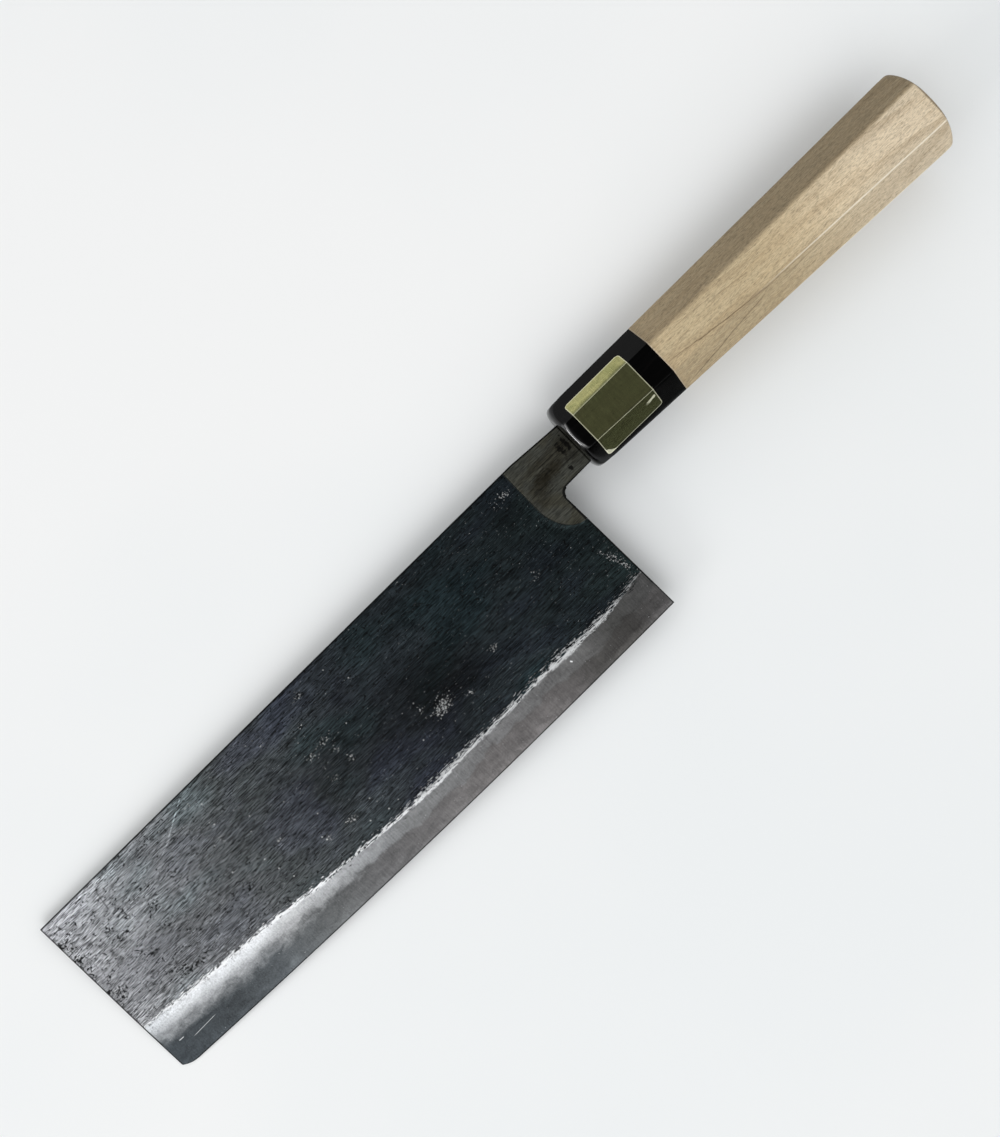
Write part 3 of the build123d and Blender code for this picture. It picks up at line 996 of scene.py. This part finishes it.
def pits_and_flecks(p, color, height, seed):
    """Rusted pits, crumbs of bare iron with dark rims, and lone bare specks."""
    pit_noise = p.noise((0.6, 0.5, 0.5), detail=1, seed=seed + 4)
    pitted = pit_noise + p.mark("pitted") * 0.24 + p.step(p.x, -130.0, -160.0) * 0.01
    hollows = p.cells((0.6, 0.5, 0.5), seed=seed)
    pits = p.step(pitted, 0.62, 0.66) * p.step(hollows, 0.68, 0.52)
    color = p.mix(pits * 0.95, color, pit_black)
    pit_rim = p.step(pitted, 0.57, 0.61) * p.step(pitted, 0.65, 0.62) * p.step(p.x, -158.0, -163.0)
    color = p.mix(pit_rim * p.mark("pitted") * 0.8, color, bare_white)
    fleck_noise = p.noise((0.44, 0.4, 0.4), roughness=0.65, seed=seed + 5)
    flecked = fleck_noise + p.mark("flecked") * 0.24
    crumbs = p.cells((0.5, 0.44, 0.44), seed=seed + 1)
    flecks = p.step(flecked, 0.67, 0.71) * p.step(crumbs, 0.56, 0.42)
    color = p.mix(p.step(flecked, 0.63, 0.69) * (1 - flecks) * p.mark("flecked"), color, pit_black)
    color = p.mix(flecks * 0.85, color, bare_grey)
    lone_specks = p.step(p.cells((3.2, 3.2, 3.2), seed=seed + 11), 0.075, 0.045)
    speckled = p.step(p.x, -140.0, -120.0) * (1 - p.step(p.x, -70.0, -50.0) * 0.8)
    color = p.mix(lone_specks * speckled * 0.8, color, bare_grey)
    return color, height - pits * 0.06 + flecks * 0.015


def paint_cladding(name, side):
    """Black forge scale over the flat, worn by rubbing, with a ragged bare line above the bevel."""
    p = Painter(name)
    rise = p.mark("rise")
    seed = 20 if side > 0 else 40
    color, roughness, height, short_grain = forge_scale(p, side, seed)
    color, height = pits_and_flecks(p, color, height, seed)

    strokes = p.noise((2.0, 0.26, 0.4), roughness=0.6, distortion=0.08, seed=seed + 8)
    ragged = p.noise((0.7, 0.5, 0.5), roughness=0.6, seed=seed + 6)
    chip_noise = p.noise((0.9, 0.5, 0.5), roughness=0.6, seed=seed + 7)
    band_noise = p.noise((11.0, 11.0, 11.0), detail=1, seed=seed + 10)
    heelward = p.step(p.x, -84.0, -72.0)
    worn_up = p.blob(-67.0, -40.5, 13.0, 8.0) * 0.7 + p.blob(-20.0, -40.5, 12.0, 8.0) * 0.35
    worn_up = worn_up + p.blob(-88.0, -40.5, 9.0, 8.0) * 0.3 - p.blob(-122.0, -36.0, 20.0, 8.0) * 0.2
    bareness = (strokes - 0.5) * (5.4 + heelward * 2.4) + (ragged - 0.5) * 3.0 + worn_up - rise
    line_color = p.mix(p.step(p.x, -84.0, -62.0), bare_white, line_grey)
    ground, ground_roughness, ground_height = ground_steel(p)
    wide_places = p.blob(-116.0, -38.0, 12.0, 8.0) + p.blob(-142.0, -35.0, 16.0, 8.0)
    thickness = 0.5 + wide_places * 0.9 + heelward * (0.1 + p.step(band_noise, 0.4, 0.65) * 0.4)
    thickness = thickness + p.blob(-34.0, -40.5, 15.0, 8.0) * 0.6
    below = strokes - 0.5 + (ragged - 0.5) * (0.8 + heelward * 0.8) - rise
    line = p.step(below, thickness, thickness * 0.5) * (0.55 + short_grain * 0.7)
    line = line * (1 - p.step(p.x, -90.0, -78.0) * 0.12) * (1 - p.step(p.x, -12.0, -5.0) * 0.5)
    ground = p.mix(line, ground, line_color)
    bare = p.step(bareness, -0.1, 0.1)
    chips = p.step(chip_noise, 0.58, 0.62) * p.step(p.math("ABSOLUTE", bareness - 0.15), 0.8, 0.3)
    bare = bare * (1 - chips)
    color = p.mix(p.step(bareness, -0.55, -0.2) * (0.35 + heelward * 0.2), color, pit_black)
    color = p.mix(chips, color, pit_black)
    color = p.mix(p.step(p.mark("weld"), 0.3, 0.1) * 0.5, color, weld_grey)
    color = p.mix(bare, color, ground)
    # Painted shade: the flats darken along the blade's outline, where the rims round off.
    color = p.mix(p.step(p.mark("border"), 0.48, 0.3) * 0.92, color, rim_black_and_shade)

    roughness = roughness + bare * (ground_roughness - roughness)
    height = height * (1 - bare) + ground_height * bare - bare * 0.02
    return p.finish(color, roughness, height, metallic=0.85, specular=0.4)


def paint_core(name):
    p = Painter(name)
    color, roughness, height = ground_steel(p)
    return p.finish(color, roughness, height, metallic=0.9, specular=0.5)


def paint_rims(name):
    """Filed and blackened iron of the spine, tip and heel."""
    p = Painter(name)
    file_lines = p.noise((0.16, 0.16, 3.0), roughness=0.6, seed=60)
    clouds = p.noise((7.0, 7.0, 2.0), seed=61)
    worn = p.step(clouds + (file_lines - 0.5) * 0.4, 0.5, 0.72)
    color = p.shade(p.mix(worn, rim_black_and_shade, rim_worn), 0.75 + file_lines * 0.5)
    return p.finish(color, 0.42 + (clouds - 0.5) * 0.2, file_lines * 0.02 + clouds * 0.02, metallic=0.85)


def paint_collar(name):
    """Satin stainless steel with grinding lines, brown heat stains, scorch marks and painted shade along its
    rims.
    """
    p = Painter(name)
    lines = p.noise((7.0, 0.26, 0.5), roughness=0.6, distortion=0.06, seed=70)
    fine = p.noise((1.6, 0.24, 0.3), detail=2, seed=71)
    clouds = p.noise((5.0, 3.5, 3.5), detail=4, roughness=0.6, distortion=0.5, seed=72)
    small = p.noise((0.9, 0.6, 0.6), detail=4, roughness=0.65, distortion=0.6, seed=73)
    ragged = (small - 0.5) * 4.5
    color = p.mix(p.step(clouds, 0.36, 0.66) * 0.7, collar_grey, collar_olive)
    for x, y, size_x, size_y, strength in heat_places:
        color = p.mix(p.blob(x, y, size_x, size_y, ragged, 3.0, -0.6) * strength, color, collar_brown)
    for x, y, size_x, size_y, strength in scorch_places:
        color = p.mix(p.blob(x, y, size_x, size_y, ragged * 1.4) * strength, color, scorch_black)
    peppered = p.step(small, 0.6, 0.66) * p.blob(-1.6, -9.0, 5.0, 4.6, 0.0, 1.6, 0.2)
    color = p.mix(peppered * 0.7, color, scorch_black)
    groove = p.stroke(-1.0, -5.25, 12.4, -5.4, 0.26) + p.stroke(5.4, -8.9, 12.4, -8.9, 0.22)
    groove = groove * p.step(fine, 0.3, 0.46)
    ground = p.math("MAXIMUM", lines * 1.9 + fine * 2.0 - 0.92, 0.15)
    color = p.shade(color, ground * (1 - groove * 0.85))
    notch_x = float(heel_x(-neck_depth_heel)) + notch_radius
    beside = p.math("MINIMUM", p.x - notch_x, 0.0)
    above = p.math("MAXIMUM", p.y + neck_depth_heel + notch_radius, 0.0)
    from_notch = p.math("SQRT", beside * beside + above * above) - notch_radius
    dropping = neck_drop / (neck_length + neck_drop_start)
    from_spine = 0 - p.y - p.math("MAXIMUM", p.x + neck_drop_start, 0.0) * dropping
    inset = p.math("MINIMUM", from_notch, from_spine)
    # Painted shade: the neck darkens along its spine edge and its notch.
    color = p.mix(p.step(inset, 0.5, 0.3) * 0.88, color, rim_black_and_shade)
    roughness = 0.38 + (clouds - 0.5) * 0.12 + (small - 0.5) * 0.1
    height = lines * 0.01 + fine * 0.004 - groove * 0.012
    return p.finish(color, roughness, height, metallic=0.85, specular=0.4)


def paint_ferrule(name):
    """Black horn with faint streaks, brightly polished where the lathe rounded its nose."""
    p = Painter(name)
    streaks = p.noise((14.0, 0.9, 0.9), detail=4, roughness=0.6, distortion=0.4, seed=80)
    smear = p.noise((3.0, 2.0, 2.0), seed=81)
    color = p.mix(p.step(streaks, 0.5, 0.8), horn_black, horn_streak)
    polished = p.step(p.x, ferrule_front + 0.3, ferrule_front + 0.45)
    polished = polished * p.step(p.x, ferrule_front + 1.8, ferrule_front + 1.2)
    polished = polished * p.step(p.math("ABSOLUTE", p.y + 5.6), 4.2, 3.0)
    roughness = 0.14 + (smear - 0.5) * 0.08 + (streaks - 0.5) * 0.04 - polished * 0.06
    height = streaks * 0.004 + smear * 0.005
    return p.finish(color, roughness, height, specular=0.28, coat=polished * 0.9, coat_ior=2.1)


def growth_layers(p):
    """Depth into the wood's growth layers, which lie nearly flat in the handle, with slow waves."""
    waviness = p.noise((45.0, 7.0, 7.0), detail=2, seed=89)
    across_layers = p.x * growth_slope[0] + p.y * growth_slope[1] + p.z * growth_slope[2]
    return (across_layers + (waviness - 0.5) * 1.6) / growth_spacing


def wood_color(p):
    """Pale fine-grained wood: growth layers, fibres, a rippled figure and short dark pores, with painted shade
    on its spine-side and edge-side facets, painted light towards the butt and a painted highlight at the
    joint.
    """
    layer = p.math("FRACT", growth_layers(p) + growth_start)
    late = p.step(layer, 0.6, 0.97) * p.step(layer, 1.0, 0.975)
    strength = p.noise((30.0, 9.0, 9.0), detail=2, seed=88)
    bands = p.noise((60.0, 1.6, 1.6), roughness=0.6, distortion=0.5, seed=90)
    fibres = p.noise((5.0, 0.34, 0.34), roughness=0.6, distortion=0.4, seed=91)
    dashes = p.noise((1.1, 0.17, 0.17), detail=2, roughness=0.6, distortion=0.2, seed=95)
    ripple = p.noise((0.9, 0.6, 0.6), roughness=0.6, distortion=0.8, seed=94)
    pores = p.noise((1.7, 0.19, 0.19), detail=2, seed=92)
    mottle = p.noise((8.0, 4.0, 4.0), detail=4, roughness=0.6, seed=93)
    back = p.step(p.y, -3.4, -2.2)
    buttward = p.step(p.x, 66.0, 116.0)
    color = p.mix(p.step(bands, 0.34, 0.66) * 0.7, wood_light, wood_warm)
    # Painted light: the flats, not the spine-side facets, grow paler towards the butt.
    color = p.mix(buttward * (1 - back) * 0.75, color, wood_painted_light)
    # Painted shade: the spine-side facets are browner.
    color = p.mix(back * 0.2, color, wood_line)
    color = p.mix(late * p.step(strength, 0.35, 0.6) * 0.3, color, wood_line)
    color = p.mix(p.step(fibres, 0.5, 0.68) * 0.35, color, wood_line)
    color = p.mix(p.step(pores, 0.6, 0.68) * 0.3, color, wood_pore)
    wavering = (fibres - 0.5) * 0.3 + (mottle - 0.5) * 0.9
    for x0, y0, x1, y1, half_width, change in figure_lines:
        line = p.stroke(x0, y0, x1, y1, half_width, wavering) * p.step(p.z, 2.0, 4.0)
        color = p.mix(line * change, color, wood_pore)
    color = p.mix(p.step(p.x, 41.0, 38.8) * 0.2, color, wood_line)
    # Painted highlight: a thin pale line at the joint with the ferrule.
    color = p.mix(p.step(p.x, 39.0, 38.82) * 0.6, color, wood_painted_light)
    # The level below is painted light and shade: lighter towards the butt, darker on the edge-side facet short
    # of the butt, darker beside the spine-side crease towards the butt, and much darker on the spine-side
    # facets.
    edgeward = p.step(p.y, -10.6, -12.6)
    level = 0.8 + p.step(p.x, 62.0, 98.0) * 0.2
    level = level * (1 - edgeward * 0.1 * p.step(p.x, 132.0, 110.0))
    level = level * (1 - p.step(p.y, -6.4, -4.2) * (1 - back) * p.step(p.x, 64.0, 90.0) * 0.1)
    level = level + back * (0.55 - p.step(p.x, 40.0, 80.0) * 0.1 - buttward * 0.02 - level)
    grit = p.step(dashes, 0.34, 0.5) * 0.23 + (dashes - 0.5) * 0.65 + 0.03
    color = p.shade(color, (0.49 + mottle * 0.2 + ripple * 0.4 + grit) * level)
    return color, fibres, pores, ripple


def paint_wood(name):
    p = Painter(name)
    color, fibres, pores, ripple = wood_color(p)
    crease = p.mark("crease")
    # Painted highlight: a pale line along the edge-side upper crease towards the butt.
    crease_highlight = p.step(crease, 0.9, 1.0) * p.step(p.x, 60.0, 90.0) * p.step(p.y, -9.0, -11.0)
    crease_highlight = crease_highlight * p.step(p.z, 2.0, 4.0)
    color = p.mix(crease_highlight * (0.2 + fibres * 0.8), color, wood_highlight)
    # Painted shade: a dark line round the rim of the butt.
    rim = p.step(p.math("ABSOLUTE", p.x - (butt - 0.3)), 0.45, 0.1)
    color = p.mix(rim * 0.7, color, wood_rim_shade)
    roughness = 0.55 + (fibres - 0.5) * 0.14 + (ripple - 0.5) * 0.12 - crease_highlight * 0.12
    height = fibres * 0.012 - pores * 0.01 + ripple * 0.01
    return p.finish(color, roughness, height, specular=0.35)


def paint_end_grain(name):
    """The sawn end of the wood, with its growth layers and pores."""
    p = Painter(name)
    layer = p.math("FRACT", growth_layers(p) + growth_start)
    late = p.step(layer, 0.3, 0.9) * p.step(layer, 1.0, 0.93)
    pores = p.cells((1.0, 0.26, 0.26), seed=2)
    mottle = p.noise((3.0, 1.2, 1.2), seed=96)
    color = p.mix(late * 0.8, end_light, end_dark)
    color = p.mix(p.step(pores, 0.3, 0.1) * 0.4, color, wood_pore)
    color = p.shade(color, 0.9 + mottle * 0.2)
    return p.finish(color, 0.66 + late * 0.04, late * 0.01 + pores * 0.02, specular=0.3)


def paint_foil(name):
    """Gold foil with a brushed sheen, cloudy tarnish and two lifted corners, with painted shade on its middle
    and lower facets and painted highlights on its folds, cut border and back corner.
    """
    p = Painter(name)
    border, across, lengthwise = p.mark("border"), p.mark("across"), p.mark("lengthwise")
    brushed = p.noise((0.4, 4.0, 4.0), roughness=0.6, seed=100)
    streaks = p.noise((9.0, 0.6, 0.6), roughness=0.6, seed=103)
    tarnish = p.noise((3.2, 2.2, 2.2), detail=4, roughness=0.6, distortion=0.6, seed=101)
    speck = p.noise((0.5, 0.5, 0.5), detail=2, seed=102)
    color = p.mix(p.step(tarnish, 0.35, 0.68), foil_gold, foil_olive)
    # Painted shade: the middle facet is darker, with a ragged border from the tarnish, and the lower facet
    # darker still.
    color = p.mix(p.step(across + (tarnish - 0.5) * 1.2, 2.6, 4.0) * 0.8, color, foil_painted_shade)
    color = p.mix(p.step(across, 11.4, 12.4) * 0.7, color, foil_deep_shade)
    color = p.mix(p.step(speck, 0.66, 0.74) * 0.5, color, foil_speck)
    color = p.shade(color, 0.5 + brushed * 0.36 + streaks * 0.4 + tarnish * 0.24)
    # Painted highlight: the folds are paler.
    color = p.mix(p.mark("fold") * (0.1 + tarnish * 0.4), color, foil_pale_and_highlight)
    # Painted highlight: a pale line along the cut border.
    cut_highlight = p.step(border, 0.3, 0.12) * (0.5 + tarnish * 0.5)
    ragged = (tarnish - 0.5) * 1.6 + (speck - 0.5) * 1.2
    corner = p.step(across - lengthwise + ragged * 0.5, 15.9, 16.3)
    from_crack = p.math("ABSOLUTE", across - 14.3 + lengthwise * 0.2 - 3.1 + ragged * 0.4)
    # A lifted strip near the back corner, raised a little and painted pale as a highlight.
    lifted_highlight = p.step(from_crack, 0.5, 0.25) * p.step(lengthwise + ragged, 14.0, 15.4)
    lifted_highlight = lifted_highlight * p.step(lengthwise, 17.4, 17.0)
    # Pale at the border, the lifted strip and the peeled front corner: painted highlights and bare foil.
    bare = p.math("MINIMUM", cut_highlight * 0.8 + (corner + lifted_highlight) * 0.75, 1.0)
    color = p.mix(bare, color, foil_pale_and_highlight)
    roughness = 0.2 + (tarnish - 0.5) * 0.14 + (brushed - 0.5) * 0.08 + bare * 0.2
    height = brushed * 0.004 + tarnish * 0.02 + p.step(border, 0.4, 0.1) * 0.01 + (corner + lifted_highlight) * 0.03
    return p.finish(color, roughness, height, metallic=0.9 - bare * 0.6, specular=0.5)


def paint_resin(name):
    p = Painter(name)
    lumps = p.noise((1.0, 1.0, 1.0), seed=110)
    dust = p.noise((0.2, 0.2, 0.2), detail=2, seed=111)
    color = p.mix(p.step(lumps, 0.4, 0.7), resin_dark, resin_brown)
    color = p.mix(p.step(dust, 0.64, 0.72) * 0.4, color, resin_dust)
    return p.finish(color, 0.3 + (lumps - 0.5) * 0.2, lumps * 0.05 + dust * 0.01, specular=0.5)


def paint_floor(name):
    p = Painter(name)
    broad = p.noise((190.0, 190.0, 190.0), seed=120)
    color = p.mix(p.step(broad, 0.3, 0.7), floor_pale, floor_cool)
    return p.finish(color, 0.75 + (broad - 0.5) * 0.1, specular=0.15)


# Colours along the blade from tip to heel. Their brightening towards the tip is partly thinner scale and worn
# iron, and partly a painted reflection of the bright room.
scale_and_sheen_colors = (
    (-166.0, tone(189, 191, 195)), (-154.0, tone(173, 176, 180)), (-134.0, tone(136, 139, 143)),
    (-112.0, tone(91, 96, 98)), (-88.0, tone(68, 74, 78)), (-72.0, tone(57, 63, 69)),
    (-58.0, tone(50, 57, 62)), (-28.0, tone(48, 57, 61)), (0.0, tone(46, 58, 59)),
)
teal_and_sheen_colors = (
    (-166.0, tone(184, 191, 195)), (-134.0, tone(128, 140, 144)), (-88.0, tone(60, 76, 79)),
    (-58.0, tone(42, 58, 61)), (-28.0, tone(37, 55, 60)), (0.0, tone(34, 56, 57)),
)
violet_and_sheen_colors = (
    (-166.0, tone(189, 191, 196)), (-134.0, tone(132, 136, 144)), (-88.0, tone(66, 71, 85)),
    (-58.0, tone(51, 56, 68)), (0.0, tone(45, 54, 61)),
)
iron_and_sheen_colors = (
    (-166.0, tone(182, 186, 190)), (-154.0, tone(206, 209, 212)), (-134.0, tone(200, 203, 206)),
    (-122.0, tone(180, 182, 184)), (-110.0, tone(156, 158, 160)), (-95.0, tone(124, 126, 128)),
    (-80.0, tone(103, 104, 105)), (-50.0, tone(100, 100, 101)), (-25.0, tone(90, 90, 90)),
    (-14.0, tone(62, 62, 61)), (0.0, tone(70, 70, 70)),
)
core_colors = (
    (-166.0, tone(54, 59, 63)), (-142.0, tone(58, 62, 65)), (-130.0, tone(70, 74, 77)),
    (-112.0, tone(82, 84, 85)), (-95.0, tone(82, 82, 83)), (-60.0, tone(92, 90, 90)),
    (-36.0, tone(86, 84, 84)), (-22.0, tone(62, 61, 60)), (-10.0, tone(52, 51, 50)),
    (0.0, tone(72, 71, 71)),
)
scale_roughness = 0.33
pit_black = tone(7, 8, 9)
bare_white = tone(222, 224, 226)
bare_grey = tone(186, 188, 188)
line_grey = tone(198, 200, 201)
weld_grey = tone(84, 84, 80)
# Black of the filed rims, also used as painted shade along the outlines of blade and collar
rim_black_and_shade = tone(10, 11, 12)
rim_worn = tone(70, 70, 70)
collar_grey = tone(76, 77, 71)
collar_olive = tone(68, 66, 55)
collar_brown = tone(40, 37, 28)
scorch_black = tone(11, 10, 9)
horn_black = tone(2, 2, 2)
horn_streak = tone(7, 6, 6)
wood_light = tone(207, 188, 152)
wood_warm = tone(194, 172, 135)
wood_line = tone(148, 125, 92)
# Painted light: paler wood towards the butt and at the ferrule joint
wood_painted_light = tone(215, 200, 176)
wood_pore = tone(110, 88, 60)
# Painted shade at the butt's rim
wood_rim_shade = tone(98, 82, 60)
# Painted highlight along a crease
wood_highlight = tone(246, 238, 220)
growth_slope, growth_spacing, growth_start = (0.08, 0.442, -0.894), 3.3, 0.44
end_light = tone(206, 190, 160)
end_dark = tone(176, 154, 120)
foil_gold = tone(230, 226, 158)
foil_olive = tone(192, 192, 130)
# Painted shade of the foil's middle and lower facets
foil_painted_shade = tone(113, 117, 82)
foil_deep_shade = tone(66, 70, 43)
foil_speck = tone(64, 62, 38)
# Pale foil for painted highlights and the peeled corner
foil_pale_and_highlight = tone(238, 237, 212)
resin_dark = tone(30, 24, 18)
resin_brown = tone(58, 44, 28)
resin_dust = tone(110, 100, 84)
floor_pale = tone(240, 241, 241)
floor_cool = tone(234, 237, 238)
coat_roughness = 0.1


# The knife

iron_left, iron_right = paint_cladding("iron_left", 1), paint_cladding("iron_right", -1)
rim_iron, steel = paint_rims("rim_iron"), paint_core("core_steel")
wood, end_grain = paint_wood("ho_wood"), paint_end_grain("ho_wood_end")
pieces = (
    (make_cladding("cladding_left", 1, [iron_left, rim_iron]), "left_cladding", "forged_iron"),
    (make_cladding("cladding_right", -1, [iron_right, rim_iron]), "right_cladding", "forged_iron"),
    (make_core("core", [steel, rim_iron]), "blade_core", "core_steel"),
    (make_tang("collar_and_tang", paint_collar("stainless")), "tang", "stainless_steel"),
    (make_ferrule("horn_ferrule", paint_ferrule("black_horn")), "ferrule", "black_ferrule"),
    (make_handle("wood_handle", wood, end_grain), "handle", "pale_wood"),
    (make_label("foil_label", paint_foil("gold_foil")), "label", "gold_foil"),
)
for piece, node, slot in pieces:
    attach(piece, "root")
    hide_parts(node)
resin = bpy.data.objects["tang_resin"]
resin.data.materials.clear()
resin.data.materials.append(paint_resin("dark_resin"))
# Table, light and camera

reach = 1.5
floor_mesh = bpy.data.meshes.new("table_top")
floor_corners = [(-reach, -reach, 0), (reach, -reach, 0), (reach, reach, 0), (-reach, reach, 0)]
floor_mesh.from_pydata(floor_corners, [], [(0, 1, 2, 3)])
add_piece("table_top", floor_mesh, [paint_floor("pale_table")])


def soft_box(name, azimuth, elevation, distance, width, height, radiance):
    """A rectangular lamp that faces the knife. Azimuth is counted from +X towards +Y."""
    lamp = bpy.data.lights.new(name, "AREA")
    lamp.shape, lamp.size, lamp.size_y = "RECTANGLE", width, height
    lamp.energy = radiance * math.pi * width * height
    holder = bpy.data.objects.new(name, lamp)
    turn, tilt = math.radians(azimuth), math.radians(elevation)
    away = Vector((math.cos(tilt) * math.cos(turn), math.cos(tilt) * math.sin(turn), math.sin(tilt)))
    holder.location = away * distance
    holder.rotation_euler = away.to_track_quat("Z", "Y").to_euler()
    bpy.context.scene.collection.objects.link(holder)


soft_box("window_light", 236.0, 56.0, 2.5, 1.5, 1.5, 1.6)
soft_box("side_window", 180.0, 22.0, 2.5, 1.0, 0.5, 8.0)


def paint_room(name):
    """A room that is dark straight above, bright in a high ring and dimmer near the horizon."""
    world = bpy.data.worlds.new(name)
    world.use_nodes = True
    room = Nodes(world.node_tree)
    x, y, z = room.split(room.node("ShaderNodeTexCoord", {}).outputs["Generated"])
    high, low = (
        room.ramp(z, [(place, (level, level, level, 1)) for place, level in stops])
        for stops in (room_high, room_low)
    )
    brightness = high * (x * -0.3 + (y * -0.05 + 1.0)) + low * (y * 0.2 + 0.2)
    room.feed(world.node_tree.nodes["Background"].inputs["Color"], brightness)
    return world


# Brightness of the room by height: 0 is the horizon and 1 is straight above
room_high = ((0.25, 0.0), (0.5, 1.2), (0.8, 1.2), (0.87, 0.86), (0.93, 0.23), (0.97, 0.05), (1.0, 0.04))
room_low = ((0.0, 1.0), (0.25, 1.0), (0.5, 0.0))
bpy.context.scene.world = paint_room("room")

camera_place = (-0.002466, 0.008059, 0.32)
camera_turn = -44.62
camera = bpy.data.cameras.new("camera")
camera.lens, camera.sensor_width = 40.81, 36.0
camera.clip_start, camera.clip_end = 0.01, 10.0
viewer = bpy.data.objects.new("camera", camera)
viewer.location = camera_place
viewer.rotation_euler = (0, 0, math.radians(camera_turn))
bpy.context.scene.collection.objects.link(viewer)
bpy.context.scene.camera = viewer
bpy.context.scene.view_settings.view_transform = "Standard"
